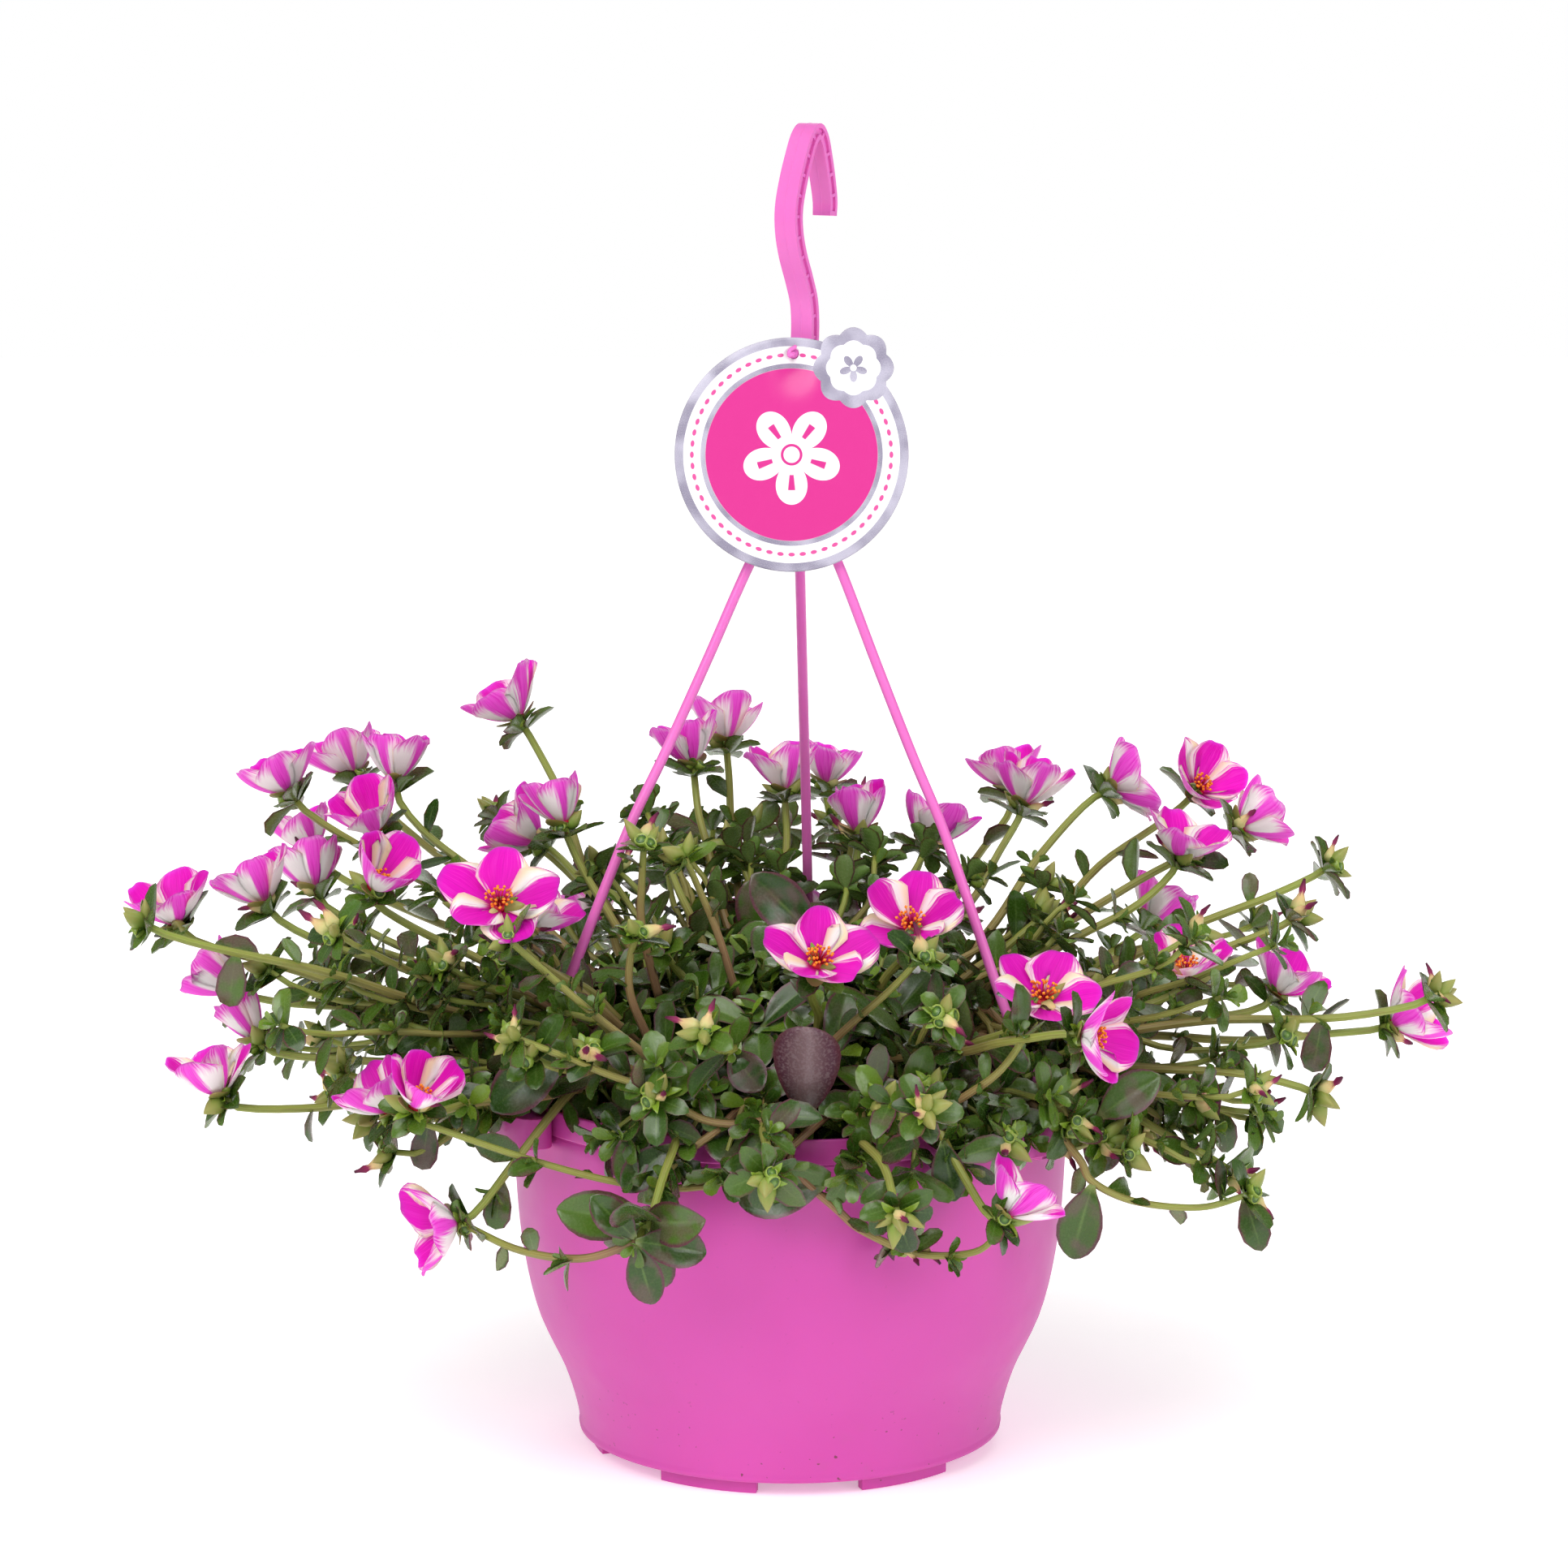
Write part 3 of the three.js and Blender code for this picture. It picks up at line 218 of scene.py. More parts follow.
def leaning(lean, azimuth):
    """Unit vector that leans from upright towards an azimuth."""
    return polar(azimuth, math.sin(math.radians(lean)), math.cos(math.radians(lean)))


def unit(vectors):
    return vectors / np.linalg.norm(vectors, axis=-1, keepdims=True)


def turned(degrees):
    """Rotation about +Z."""
    c, s = math.cos(math.radians(degrees)), math.sin(math.radians(degrees))
    return np.array([[c, -s, 0], [s, c, 0], [0, 0, 1]])


def standing(axis, turn=0):
    """Rotation that takes +Z to the axis, after a turn about +Z."""
    x, y, z = unit(np.asarray(axis, float))
    if z < -0.9999:
        return np.diag([1.0, -1.0, -1.0]) @ turned(turn)
    k = 1 / (1 + z)
    lift = np.array([[1 - x * x * k, -x * y * k, x], [-x * y * k, 1 - y * y * k, y], [-x, -y, z]])
    return lift @ turned(turn)


def smooth_line(corners, count):
    """Points spaced evenly by parameter on a Catmull-Rom line through the corners."""
    corners = np.array(corners, float)
    padded = np.vstack([2 * corners[0] - corners[1], corners, 2 * corners[-1] - corners[-2]])
    at = np.linspace(0, len(corners) - 1, count)
    i = np.minimum(at.astype(int), len(corners) - 2)
    t = (at - i)[:, None]
    a, b, c, d = padded[i], padded[i + 1], padded[i + 2], padded[i + 3]
    return 0.5 * (2 * b + (c - a) * t + (2 * a - 5 * b + 4 * c - d) * t**2 + (3 * b - a - 3 * c + d) * t**3)


def bezier(control, t):
    t = np.asarray(t, float)[:, None]
    p = np.asarray(control, float)
    return (1 - t) ** 3 * p[0] + 3 * (1 - t) ** 2 * t * p[1] + 3 * (1 - t) * t**2 * p[2] + t**3 * p[3]


def run_along(line):
    """How far along a line each of its points is."""
    return np.concatenate([[0], np.cumsum(np.linalg.norm(np.diff(line, axis=0), axis=1))])


def point_at(at, run, line):
    return np.array([np.interp(at, run, line[:, axis]) for axis in range(3)])


def end_way(line):
    """The direction in which a line ends."""
    return unit(line[-1] - line[-2])


def spaced(control, pieces, divisions=200):
    """Points that cut a Bezier curve into pieces of equal length."""
    shares = np.linspace(0, 1, divisions + 1)
    run = run_along(bezier(control, shares))
    return bezier(control, np.interp(np.linspace(0, run[-1], pieces + 1), run, shares))


# ---- materials


def linear(level):
    """A colour's level of 0 to 255 as it looks on a screen, in the renderer's linear numbers."""
    share = level / 255
    return share / 12.92 if level <= 10 else ((share + 0.055) / 1.055) ** 2.4


def srgb(*levels):
    return (*map(linear, levels), 1.0)


class Value:
    """A number, colour or vector in a material's node tree. The signs +, - and * add a math node."""

    def __init__(self, shade, socket):
        self.shade, self.socket = shade, socket

    def __add__(self, other):
        return self.shade.math("ADD", self, other)

    def __sub__(self, other):
        return self.shade.math("SUBTRACT", self, other)

    def __mul__(self, other):
        return self.shade.math("MULTIPLY", self, other)

    def __abs__(self):
        return self.shade.math("ABSOLUTE", self)


class Shade:
    """A material's node tree, with one short call for each kind of node."""

    def __init__(self, name, **settings):
        self.material = bpy.data.materials.new(name)
        self.material.use_nodes = True
        self.tree = self.material.node_tree
        self.shader = self.tree.nodes["Principled BSDF"]
        for socket, value in settings.items():
            self.shader.inputs[socket.replace("_", " ")].default_value = value

    def value(self, kind, inputs, output=0, **settings):
        """What comes out of a new node. Its inputs are other values, or plain numbers and colours."""
        node = self.tree.nodes.new(kind)
        for key, setting in settings.items():
            setattr(node, key, setting)
        for socket, given in inputs.items():
            if isinstance(given, Value):
                self.tree.links.new(given.socket, node.inputs[socket])
            else:
                node.inputs[socket].default_value = given
        return Value(self, node.outputs[output])

    def math(self, operation, first, second=0.0):
        return self.value("ShaderNodeMath", {0: first, 1: second}, operation=operation)

    def mix(self, factor, first, second):
        return self.value("ShaderNodeMix", {0: factor, 6: first, 7: second}, 2, data_type="RGBA")

    def step(self, value, low, high, start=0.0, end=1.0):
        """A smooth step from start, where the value is low, to end, where it is high."""
        inputs = {0: value, 1: low, 2: high, 3: start, 4: end}
        return self.value("ShaderNodeMapRange", inputs, interpolation_type="SMOOTHSTEP")

    def ramp(self, factor, *stops):
        colour = self.value("ShaderNodeValToRGB", {0: factor})
        elements = colour.socket.node.color_ramp.elements
        while len(elements) < len(stops):
            elements.new(0.5)
        for element, (position, stop) in zip(elements, stops):
            element.position = position
            element.color = stop
        return colour

    def noise(self, vector, scale, detail, stretch=(1, 1, 1)):
        place = self.value("ShaderNodeMapping", {"Vector": vector, "Scale": stretch})
        return self.value("ShaderNodeTexNoise", {"Vector": place, "Scale": scale, "Detail": detail})

    def object_place(self):
        return self.value("ShaderNodeTexCoord", {}, "Object")

    def grain(self, scale, detail=2.0):
        """Noise that is fixed to the object."""
        return self.noise(self.object_place(), scale, detail)

    def read(self, name):
        """A vector that every point of the mesh holds, and its three numbers."""
        vector = self.value("ShaderNodeAttribute", {}, "Vector", attribute_name=name)
        parts = self.value("ShaderNodeSeparateXYZ", {0: vector}).socket.node.outputs
        return vector, *(Value(self, part) for part in parts)

    def bump(self, height, distance, strength):
        inputs = {"Height": height, "Distance": distance, "Strength": strength}
        self.link("Normal", self.value("ShaderNodeBump", inputs))

    def link(self, socket, value):
        self.tree.links.new(value.socket, self.shader.inputs[socket])

    def done(self, colour, grain, smooth, rough, start=0.3):
        """The finished material, whose roughness follows a grain."""
        self.link("Base Color", colour)
        self.link("Roughness", self.step(grain, start, 0.7, smooth, rough))
        return self.material


def pot_plastic(name, lit, shade, roughness, dirty):
    """Dyed polypropylene: soft gloss, a little light carried inside, faint flow marks, dirt low down."""
    s = Shade(name, IOR=1.49, Subsurface_Weight=0.12, Subsurface_Scale=0.004)
    place = s.object_place()
    colour = s.mix(s.step(s.noise(place, 9, 3), 0.35, 0.7), lit, shade)
    if dirty:
        low = s.step(s.value("ShaderNodeSeparateXYZ", {0: place}, 2), 0.016, 0.05, 1.0, 0.12)
        specks = s.step(s.noise(place, 420, 1), 0.735, 0.77)
        scuffs = s.step(s.noise(place, 60, 4), 0.62, 0.78, 0.0, 0.16)
        colour = s.mix(specks * low, colour, srgb(120, 50, 80))
        colour = s.mix(scuffs * low, colour, srgb(170, 90, 130))
    s.bump(s.noise(place, 700, 2), 0.00006, 0.25)
    return s.done(colour, s.noise(place, 30, 3), roughness - 0.04, roughness + 0.06)


def leaf_skin():
    """Fleshy leaf: dark waxy green above, purple margins with age, paler and purplish below."""
    s = Shade("leaf", IOR=1.5, Subsurface_Weight=0.05, Subsurface_Scale=0.002)
    _, across, along, side = s.read("place")
    _, chance, age, _ = s.read("kind")
    width = abs(across)
    fresh = s.mix(chance, srgb(76, 114, 28), srgb(122, 150, 44))
    grown = s.mix(chance, srgb(34, 64, 14), srgb(74, 104, 30))
    upper = s.mix(s.step(age, 0.05, 0.4), fresh, grown)
    grain = s.grain(900)
    # Lighter green flecks on the grain: painted sparkle, the waxy skin's glints painted into its colour
    upper = s.mix(s.step(grain, 0.5, 0.8, 0.0, 0.15), upper, srgb(110, 136, 62))
    rib = s.step(width, 0.0, 0.11, 0.8, 0.0) * s.step(along, 0.5, 1.0, 0.5, 0.0)
    upper = s.mix(rib, upper, srgb(112, 140, 72))
    flush = s.grain(90)
    old = s.step(age, 0.55, 0.95)
    upper = s.mix(old * s.step(flush, 0.42, 0.62, 0.0, 0.6), upper, srgb(100, 72, 74))
    lower = s.mix(s.step(age, 0.3, 0.9), srgb(98, 128, 62), srgb(104, 116, 72))
    lower = s.mix(s.step(flush, 0.45, 0.65, 0.0, 0.6) * old, lower, srgb(128, 84, 98))
    purple = s.mix(s.step(width, 0.15, 0.85), srgb(118, 92, 98), srgb(82, 42, 60))
    # Pale grey-pink flecks on the grain: painted speckled sheen on the purple lower side
    purple = s.mix(s.step(grain, 0.45, 0.7, 0.0, 0.6), purple, srgb(140, 118, 122))
    purple = s.mix(s.step(along, 0.55, 0.1, 0.0, 0.7), purple, srgb(66, 56, 50))
    lower = s.mix(s.step(age, 1.0, PURPLE_AGE), lower, purple)
    colour = s.mix(s.step(side, -0.15, -0.5), upper, lower)
    edge = s.step(width, 0.77, 0.93) * s.step(age, 0.2, 0.75, 0.2, 0.95)
    colour = s.mix(edge, colour, srgb(84, 42, 56))
    colour = s.mix(s.step(along, 0.0, 0.14, 0.7, 0.0), colour, srgb(140, 155, 90))
    s.bump(grain + s.grain(110, 0) * 6, 0.00007, 0.4)
    return s.done(colour, grain, 0.22, 0.34, start=0.35)


def stem_skin():
    """Smooth stem with fine lengthwise lines, green at its end and red-brown where it is old."""
    s = Shade("stem", IOR=1.42, Subsurface_Weight=0.08, Subsurface_Scale=0.002)
    place, around, _, _ = s.read("place")
    _, chance, age, _ = s.read("kind")
    colour = s.ramp(
        age + chance * 0.18,
        (0.0, srgb(134, 154, 60)), (0.35, srgb(136, 140, 62)), (0.62, srgb(138, 122, 68)),
        (0.85, srgb(140, 102, 74)), (1.0, srgb(116, 78, 60)),
    )
    wave = s.math("SINE", around * (2 * math.pi * STEM_LINES))
    colour = s.mix(s.step(wave, 0.2, 0.95, 0.0, 0.28), colour, srgb(176, 176, 112))
    streak = s.noise(place, 1.0, 2, (14, 0.05, 1))
    colour = s.mix(s.step(streak, 0.5, 0.75, 0.0, 0.45), colour, srgb(118, 88, 64))
    s.bump(wave, 0.0001, 0.5)
    return s.done(colour, streak, 0.4, 0.52)


def petal_skin():
    """Silky petal: magenta in its middle and at its end, white and cream towards its sides. Its back
    is paler, with a broad white field."""
    s = Shade("petal", IOR=1.35, Specular_IOR_Level=0.25, Sheen_Weight=0.03, Sheen_Roughness=0.4,
              Subsurface_Weight=0.65, Subsurface_Scale=0.002, Subsurface_Radius=(1.0, 0.85, 0.95))
    place, across, along, side = s.read("place")
    _, chance, _, shift = s.read("kind")
    veins = s.noise(place, 1.0, 3, (11, 1.3, 0.2))
    fine = s.noise(place, 1.0, 2, (34, 2.0, 0.2))
    feather = (veins - 0.5) * 0.75
    width = abs(across + shift)
    inside = width + (chance - 0.5) * 0.26 + feather
    height = along + feather * 0.8
    white = s.step(inside, 0.46, 0.68) * s.step(height, 0.16, 0.36) * s.step(height, 1.04, 0.8)
    middle = s.mix(chance, srgb(218, 2, 176), srgb(202, 4, 162))
    middle = s.mix(s.step(fine, 0.42, 0.68, 0.0, 0.35), middle, srgb(236, 50, 198))
    middle = s.mix(s.step(veins, 0.55, 0.72, 0.0, 0.5), middle, srgb(176, 0, 140))
    cream = s.mix(s.step(width, 0.66, 0.96), srgb(252, 240, 242), srgb(251, 224, 178))
    front = s.mix(white, middle, cream)
    front = s.mix(s.step(along, 0.3, 0.12), front, srgb(186, 4, 96))
    pale = s.mix(s.step(veins, 0.4, 0.66), srgb(234, 66, 202), srgb(216, 20, 178))
    pale = s.mix(s.step(fine, 0.45, 0.7, 0.0, 0.35), pale, srgb(236, 112, 212))
    bare = s.step(inside, 0.22, 0.46, 0.0, 0.97) * s.step(height, 0.98, 0.7) * s.step(height, 0.06, 0.2)
    back = s.mix(bare, pale, srgb(253, 240, 243))
    back = s.mix(s.step(along, 0.3, 0.1, 0.0, 0.7), back, srgb(210, 60, 130))
    colour = s.mix(s.step(side, 0.1, -0.3), front, back)
    rim = s.step(along + feather * 0.1, 0.95, 0.99, 0.0, 0.45)
    colour = s.mix(rim, colour, srgb(200, 22, 172))
    s.bump(fine, 0.00015, 0.6)
    return s.done(colour, fine, 0.46, 0.6)


def plain_growth(name, young, old, roughness=0.45):
    """Buds, sepals and stamens: two colours that run into each other along the piece."""
    s = Shade(name, IOR=1.42, Subsurface_Weight=0.1, Subsurface_Scale=0.002)
    place, _, along, _ = s.read("place")
    _, chance, _, _ = s.read("kind")
    streak = s.noise(place, 1.0, 2, (9, 1.2, 1))
    colour = s.mix(s.step(along + (streak - 0.5) * 0.5, 0.1, 0.95), young, old)
    colour = s.mix(chance * 0.25, colour, srgb(150, 110, 84))
    grain = s.grain(800)
    s.bump(grain, 0.00015, 0.5)
    return s.done(colour, grain, roughness - 0.08, roughness + 0.08)


def withered_skin():
    """Spent flower: a papery tan sleeve with a shrivelled dark purple end."""
    s = Shade("withered", IOR=1.4, Subsurface_Weight=0.1, Subsurface_Scale=0.002)
    place, _, along, _ = s.read("place")
    streak = s.noise(place, 1.0, 3, (8, 1.0, 1))
    colour = s.ramp(
        along + (streak - 0.5) * 0.35,
        (0.0, srgb(150, 166, 90)), (0.28, srgb(198, 190, 128)), (0.56, srgb(212, 180, 130)),
        (0.68, srgb(140, 30, 84)), (1.0, srgb(70, 12, 44)),
    )
    s.bump(streak, 0.0004, 0.8)
    return s.done(colour, streak, 0.4, 0.7)


def seed_cup_skin():
    """Green seed cup seen into its top: a shiny dark green dome inside a pale ring, with a painted highlight on
    the dome's top.
    """
    s = Shade("seed_cup", IOR=1.45, Coat_Weight=0.1, Coat_Roughness=0.2)
    _, _, along, _ = s.read("place")
    # The last stop, lighter green on the dome's top, is a painted highlight; the pale ring and the dark green
    # dome are the cup's own colours
    colour = s.ramp(
        along, (0.0, srgb(112, 136, 52)), (0.55, srgb(134, 156, 62)), (0.62, srgb(164, 180, 84)),
        (0.72, srgb(44, 74, 20)), (0.86, srgb(62, 98, 30)), (1.0, srgb(110, 140, 60)),
    )
    return s.done(colour, s.grain(900, 1), 0.22, 0.36)


def peat():
    """Moist peat: nearly black crumbs with a few paler fibres."""
    s = Shade("peat", IOR=1.3)
    grain = s.grain(350, 6)
    colour = s.ramp(grain, (0.3, srgb(20, 14, 10)), (0.55, srgb(44, 32, 24)), (0.75, srgb(86, 66, 48)))
    s.bump(grain, 0.002, 0.9)
    return s.done(colour, grain, 0.75, 1.0)


# The tag's print, in millimetres on the card
PRINT_SOFT = 0.15                   # half the width over which one colour runs into the next
DISC_RINGS = (36.3, 38.4, 45.6)     # pink middle, thin silver ring, white band, then the silver rim
DOT_RADIUS = 42.0
DOT_COUNT = 56
DOT_SIZE = 0.85
DOT_SHAPE = 0.6
BLOSSOM_RADIUS = 21
BLOSSOM_RING = (3.4, 4.6)
VEIN_ENDS = (8.5, 15.0)
BADGE_RIM = 5.6
CARD_WHITE = srgb(250, 250, 252)
BADGE_WHITE = srgb(251, 251, 253)
CARD_BACK = srgb(232, 230, 238)


def past(s, distance, edge):
    """1 beyond an edge in the print, and 0 before it."""
    return s.step(distance, edge - PRINT_SOFT, edge + PRINT_SOFT)


def before(s, distance, edge):
    return s.step(distance, edge - PRINT_SOFT, edge + PRINT_SOFT, 1.0, 0.0)


def ring(s, distance, low, high):
    return past(s, distance, low) * before(s, distance, high)


def silver(s, place):
    """Brushed silver print, whose soft lilac play of light is painted: cloudy darker and lighter grey as
    painted reflection, with bright flecks as painted glints.
    """
    reflection_cloud = s.noise(place, 0.06, 2)
    glint_flecks = s.noise(place, 3.0, 2)
    # Darker and lighter grey by the noise is painted reflection, and near-white flecks are painted glints
    metal = s.mix(s.step(reflection_cloud, 0.35, 0.65), srgb(128, 122, 146), srgb(178, 174, 194))
    return s.mix(s.step(glint_flecks, 0.4, 0.7, 0.0, 0.2), metal, srgb(244, 242, 250))


def polar_place(s, x, y):
    return s.math("SQRT", x * x + y * y), s.math("ARCTAN2", y, x)


def petal_wave(s, angle, lobes):
    """1 in the middle of each lobe round a centre, and 0 between two lobes."""
    return abs(s.math("COSINE", angle * (lobes / 2)))


def tag_print():
    """The tag's face: silver rim, white band with a ring of dots, pink middle with a plain blossom."""
    s = Shade("tag_print", IOR=1.5, Coat_Weight=0.3, Coat_Roughness=0.25)
    place, x, y, side = s.read("place")
    distance, angle = polar_place(s, x, y)
    pink = s.mix(s.step(s.noise(place, 6, 2), 0.35, 0.7), srgb(202, 30, 132), srgb(212, 44, 144))
    metal = silver(s, place)
    share = s.math("FRACT", angle * (DOT_COUNT / (2 * math.pi)) + (DOT_COUNT + 0.5))
    off = (share - 0.5) * (2 * math.pi * DOT_RADIUS / DOT_COUNT)
    spot, _ = polar_place(s, off * DOT_SHAPE, distance - DOT_RADIUS)
    face = s.mix(before(s, spot, DOT_SIZE), CARD_WHITE, srgb(214, 74, 150))
    face = s.mix(ring(s, distance, DISC_RINGS[0], DISC_RINGS[1]), face, metal)
    face = s.mix(before(s, distance, DISC_RINGS[0]), face, pink)
    face = s.mix(past(s, distance, DISC_RINGS[2]), face, metal)
    lobes = s.math("POWER", petal_wave(s, angle + math.pi / 2, PETALS), 0.7)
    outline = (lobes * 0.62 + 0.38) * BLOSSOM_RADIUS
    face = s.mix(past(s, outline - distance, 0), face, CARD_WHITE)
    vein = s.step(lobes, 0.965, 0.985) * ring(s, distance, *VEIN_ENDS)
    face = s.mix(vein, face, pink)
    face = s.mix(ring(s, distance, *BLOSSOM_RING), face, pink)
    colour = s.mix(s.step(side, 0.1, -0.1), face, CARD_BACK)
    fibres = s.noise(place, 1.6, 3)
    s.bump(fibres, 0.00004, 0.3)
    return s.done(colour, fibres, 0.3, 0.42)


def badge_print():
    """The small badge: a silver scalloped rim round a white field with a small silver blossom."""
    s = Shade("badge_print", IOR=1.5, Coat_Weight=0.3, Coat_Roughness=0.25)
    place, x, y, side = s.read("place")
    distance, angle = polar_place(s, x, y)
    metal = silver(s, place)
    field = petal_wave(s, angle, BADGE_LOBES) * 1.1 + (BADGE_RADIUS - BADGE_RIM)
    face = s.mix(past(s, distance - field, 0), BADGE_WHITE, metal)
    lobes = petal_wave(s, angle + 0.3, PETALS) * 4.4
    face = s.mix(past(s, lobes + 1.6 - distance, 0), face, metal)
    face = s.mix(s.step(distance, 1.5, 1.2), face, BADGE_WHITE)
    colour = s.mix(s.step(side, 0.1, -0.1), face, CARD_BACK)
    return s.done(colour, s.noise(place, 1.6, 3), 0.26, 0.4)


POT_PINK = (srgb(202, 69, 166), srgb(196, 64, 160))
HANGER_PINK = (srgb(226, 112, 194), srgb(220, 100, 186))
materials = {
    "pot": pot_plastic("pot_plastic", *POT_PINK, 0.44, True),
    "hanger": pot_plastic("hanger_plastic", *HANGER_PINK, 0.34, False),
    "leaf": leaf_skin(),
    "stem": stem_skin(),
    "petal": petal_skin(),
    "bud": plain_growth("bud", srgb(118, 148, 56), srgb(144, 146, 76)),
    "sepal": plain_growth("sepal", srgb(116, 146, 58), srgb(144, 132, 76)),
    "filament": plain_growth("filament", srgb(170, 4, 44), srgb(206, 24, 40)),
    "anther": plain_growth("anther", srgb(240, 120, 20), srgb(250, 160, 40), 0.6),
    "withered": withered_skin(),
    "seed_cup": seed_cup_skin(),
    "peat": peat(),
    "tag": tag_print(),
    "badge": badge_print(),
}

# ---- pieces


class Piece:
    """The points and faces of one object. Every point holds a place on its blade or stem (across,
    along, side) and a kind (chance, age, shift), which the materials read."""

    def __init__(self, name, slot, nodes, *material_names):
        self.name, self.slot, self.nodes, self.material_names = name, slot, nodes, material_names
        self.points, self.places, self.kinds, self.faces, self.painted, self.rims = [], [], [], [], [], []
        self.count = 0

    def add(self, points, faces, places=(0, 0, 0), kind=(0, 0, 0), material=None, rim=False):
        points = np.asarray(points, float)
        self.points.append(points)
        self.rims.append(np.broadcast_to(rim, len(points)))
        self.places.append(np.broadcast_to(places, points.shape))
        self.kinds.append(np.broadcast_to(kind, points.shape))
        index = self.material_names.index(material) if material else 0
        for group in faces if isinstance(faces, tuple) else (faces,):
            self.faces.extend((np.asarray(group) + self.count).tolist())
            self.painted.append(np.full(len(group), index))
        self.count += len(points)

    def put(self, shape, move=np.asarray, kind=(0, 0, 0), material=None):
        """Adds a shape, which is its points, faces and places, once its points are moved."""
        points, faces, places = shape
        self.add(move(points), faces, places, kind, material)

    def make(self, bevel=0.0):
        mesh = bpy.data.meshes.new(self.name)
        mesh.from_pydata((np.vstack(self.points) * MM).tolist(), [], self.faces)
        for name, values in (("place", self.places), ("kind", self.kinds)):
            layer = mesh.attributes.new(name, "FLOAT_VECTOR", "POINT")
            layer.data.foreach_set("vector", np.vstack(values).astype(np.float32).ravel())
        for material in self.material_names:
            mesh.materials.append(materials[material])
        mesh.polygons.foreach_set("material_index", np.concatenate(self.painted).astype(np.int32))
        mesh.polygons.foreach_set("use_smooth", np.ones(len(mesh.polygons), bool))
        mesh.update()
        ends = np.zeros(2 * len(mesh.edges), np.int32)
        mesh.edges.foreach_get("vertices", ends)
        rims = np.concatenate(self.rims)[ends.reshape(-1, 2)].all(axis=1)
        mesh.attributes.new("sharp_edge", "BOOLEAN", "EDGE").data.foreach_set("value", rims)
        piece = bpy.data.objects.new(self.name, mesh)
        bpy.context.scene.collection.objects.link(piece)
        if bevel:
            rounding = piece.modifiers.new("rounding", "BEVEL")
            rounding.width = bevel * MM
            rounding.segments = 2
            rounding.limit_method = "ANGLE"
            rounding.harden_normals = True
        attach(piece, "root")
        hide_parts(*self.nodes)


def plastic_piece(name, node):
    return Piece(name, node, [node], node)


def grid_faces(rows, columns, closed):
    """Quads of a grid of rows of points, whose last column meets its first where it is closed."""
    i, j = np.meshgrid(np.arange(rows - 1), np.arange(columns if closed else columns - 1), indexing="ij")
    following = (j + 1) % columns
    corners = [i * columns + j, i * columns + following, (i + 1) * columns + following, (i + 1) * columns + j]
    return np.stack(corners, axis=-1).reshape(-1, 4)


def tube_faces(rows, columns):
    """Quads round a tube, and a face over each of its ends."""
    around = np.arange(columns)
    return grid_faces(rows, columns, True), around[None, ::-1], (around + (rows - 1) * columns)[None]


def tube(rings):
    """A closed tube through rings of points, with how far round and how far along it each point is."""
    rows, columns = rings.shape[:2]
    around = np.tile(np.arange(columns) / columns, (rows, 1))
    along = np.linspace(0, 1, rows)[:, None].repeat(columns, 1)
    places = np.stack([around, along, np.zeros_like(along)], -1)
    return rings.reshape(-1, 3), tube_faces(rows, columns), places.reshape(-1, 3)


def lathe(profile, sides, lobes=0, depth=0.0):
    """A shape turned about +Z from a profile of radius and height."""
    profile = np.array(profile, float)
    turn = turns_of(sides)
    radius = profile[:, :1] * (1 + depth * np.cos(lobes * turn))
    height = np.tile(profile[:, 1:], (1, sides))
    return tube(np.stack([radius * np.cos(turn), radius * np.sin(turn), height], -1))


def frames_along(line, hint):
    """For each point of a line, two unit vectors across it that turn with it and never twist."""
    tangents = unit(np.gradient(line, axis=0))
    side = np.cross(hint, tangents[0])
    if np.linalg.norm(side) < 1e-6:
        side = np.cross((1, 0, 0), tangents[0])
    sides = []
    for tangent in tangents:
        side = unit(side - tangent * side.dot(tangent))
        sides.append(side)
    sides = np.array(sides)
    return sides, np.cross(tangents, sides)


def swept(section, line, scales=1.0, hint=(0, 0, 1)):
    """A section of (side, lift) points carried along a line."""
    section, line = np.asarray(section, float), np.asarray(line, float)
    sides, lifts = frames_along(line, hint)
    scales = np.broadcast_to(scales, len(line))[:, None, None]
    return tube(line[:, None] + scales * (
        section[None, :, :1] * sides[:, None] + section[None, :, 1:] * lifts[:, None]))


def turns_of(sides):
    return np.arange(sides) / sides * 2 * math.pi


def circle(radius, sides):
    turn = turns_of(sides)
    return np.stack([radius * np.cos(turn), radius * np.sin(turn)], -1)


def box_section(width, height):
    """Half a width and half a height in, and the four corners of a rectangle out."""
    return np.array([(-width, -height), (width, -height), (width, height), (-width, height)])


def about_z(azimuth, centre=(0, 0)):
    """A move for points: a turn about +Z, and a shift across it."""
    return lambda points: points @ turned(azimuth).T + (centre[0], centre[1], 0)


def stood(foot, axis, size=1, turn=0):
    """A move for points: their size, and from +Z to an axis that stands on a foot."""
    matrix = standing(axis, turn)
    return lambda points: points * size @ matrix.T + foot


def rounded_share(share):
    """Even shares from 0 to 1, moved closer together near 0 and more so near 1."""
    turn = math.pi / 2 * share
    return 0.5 * math.sin(turn) + 0.5 * math.sin(turn) ** 2


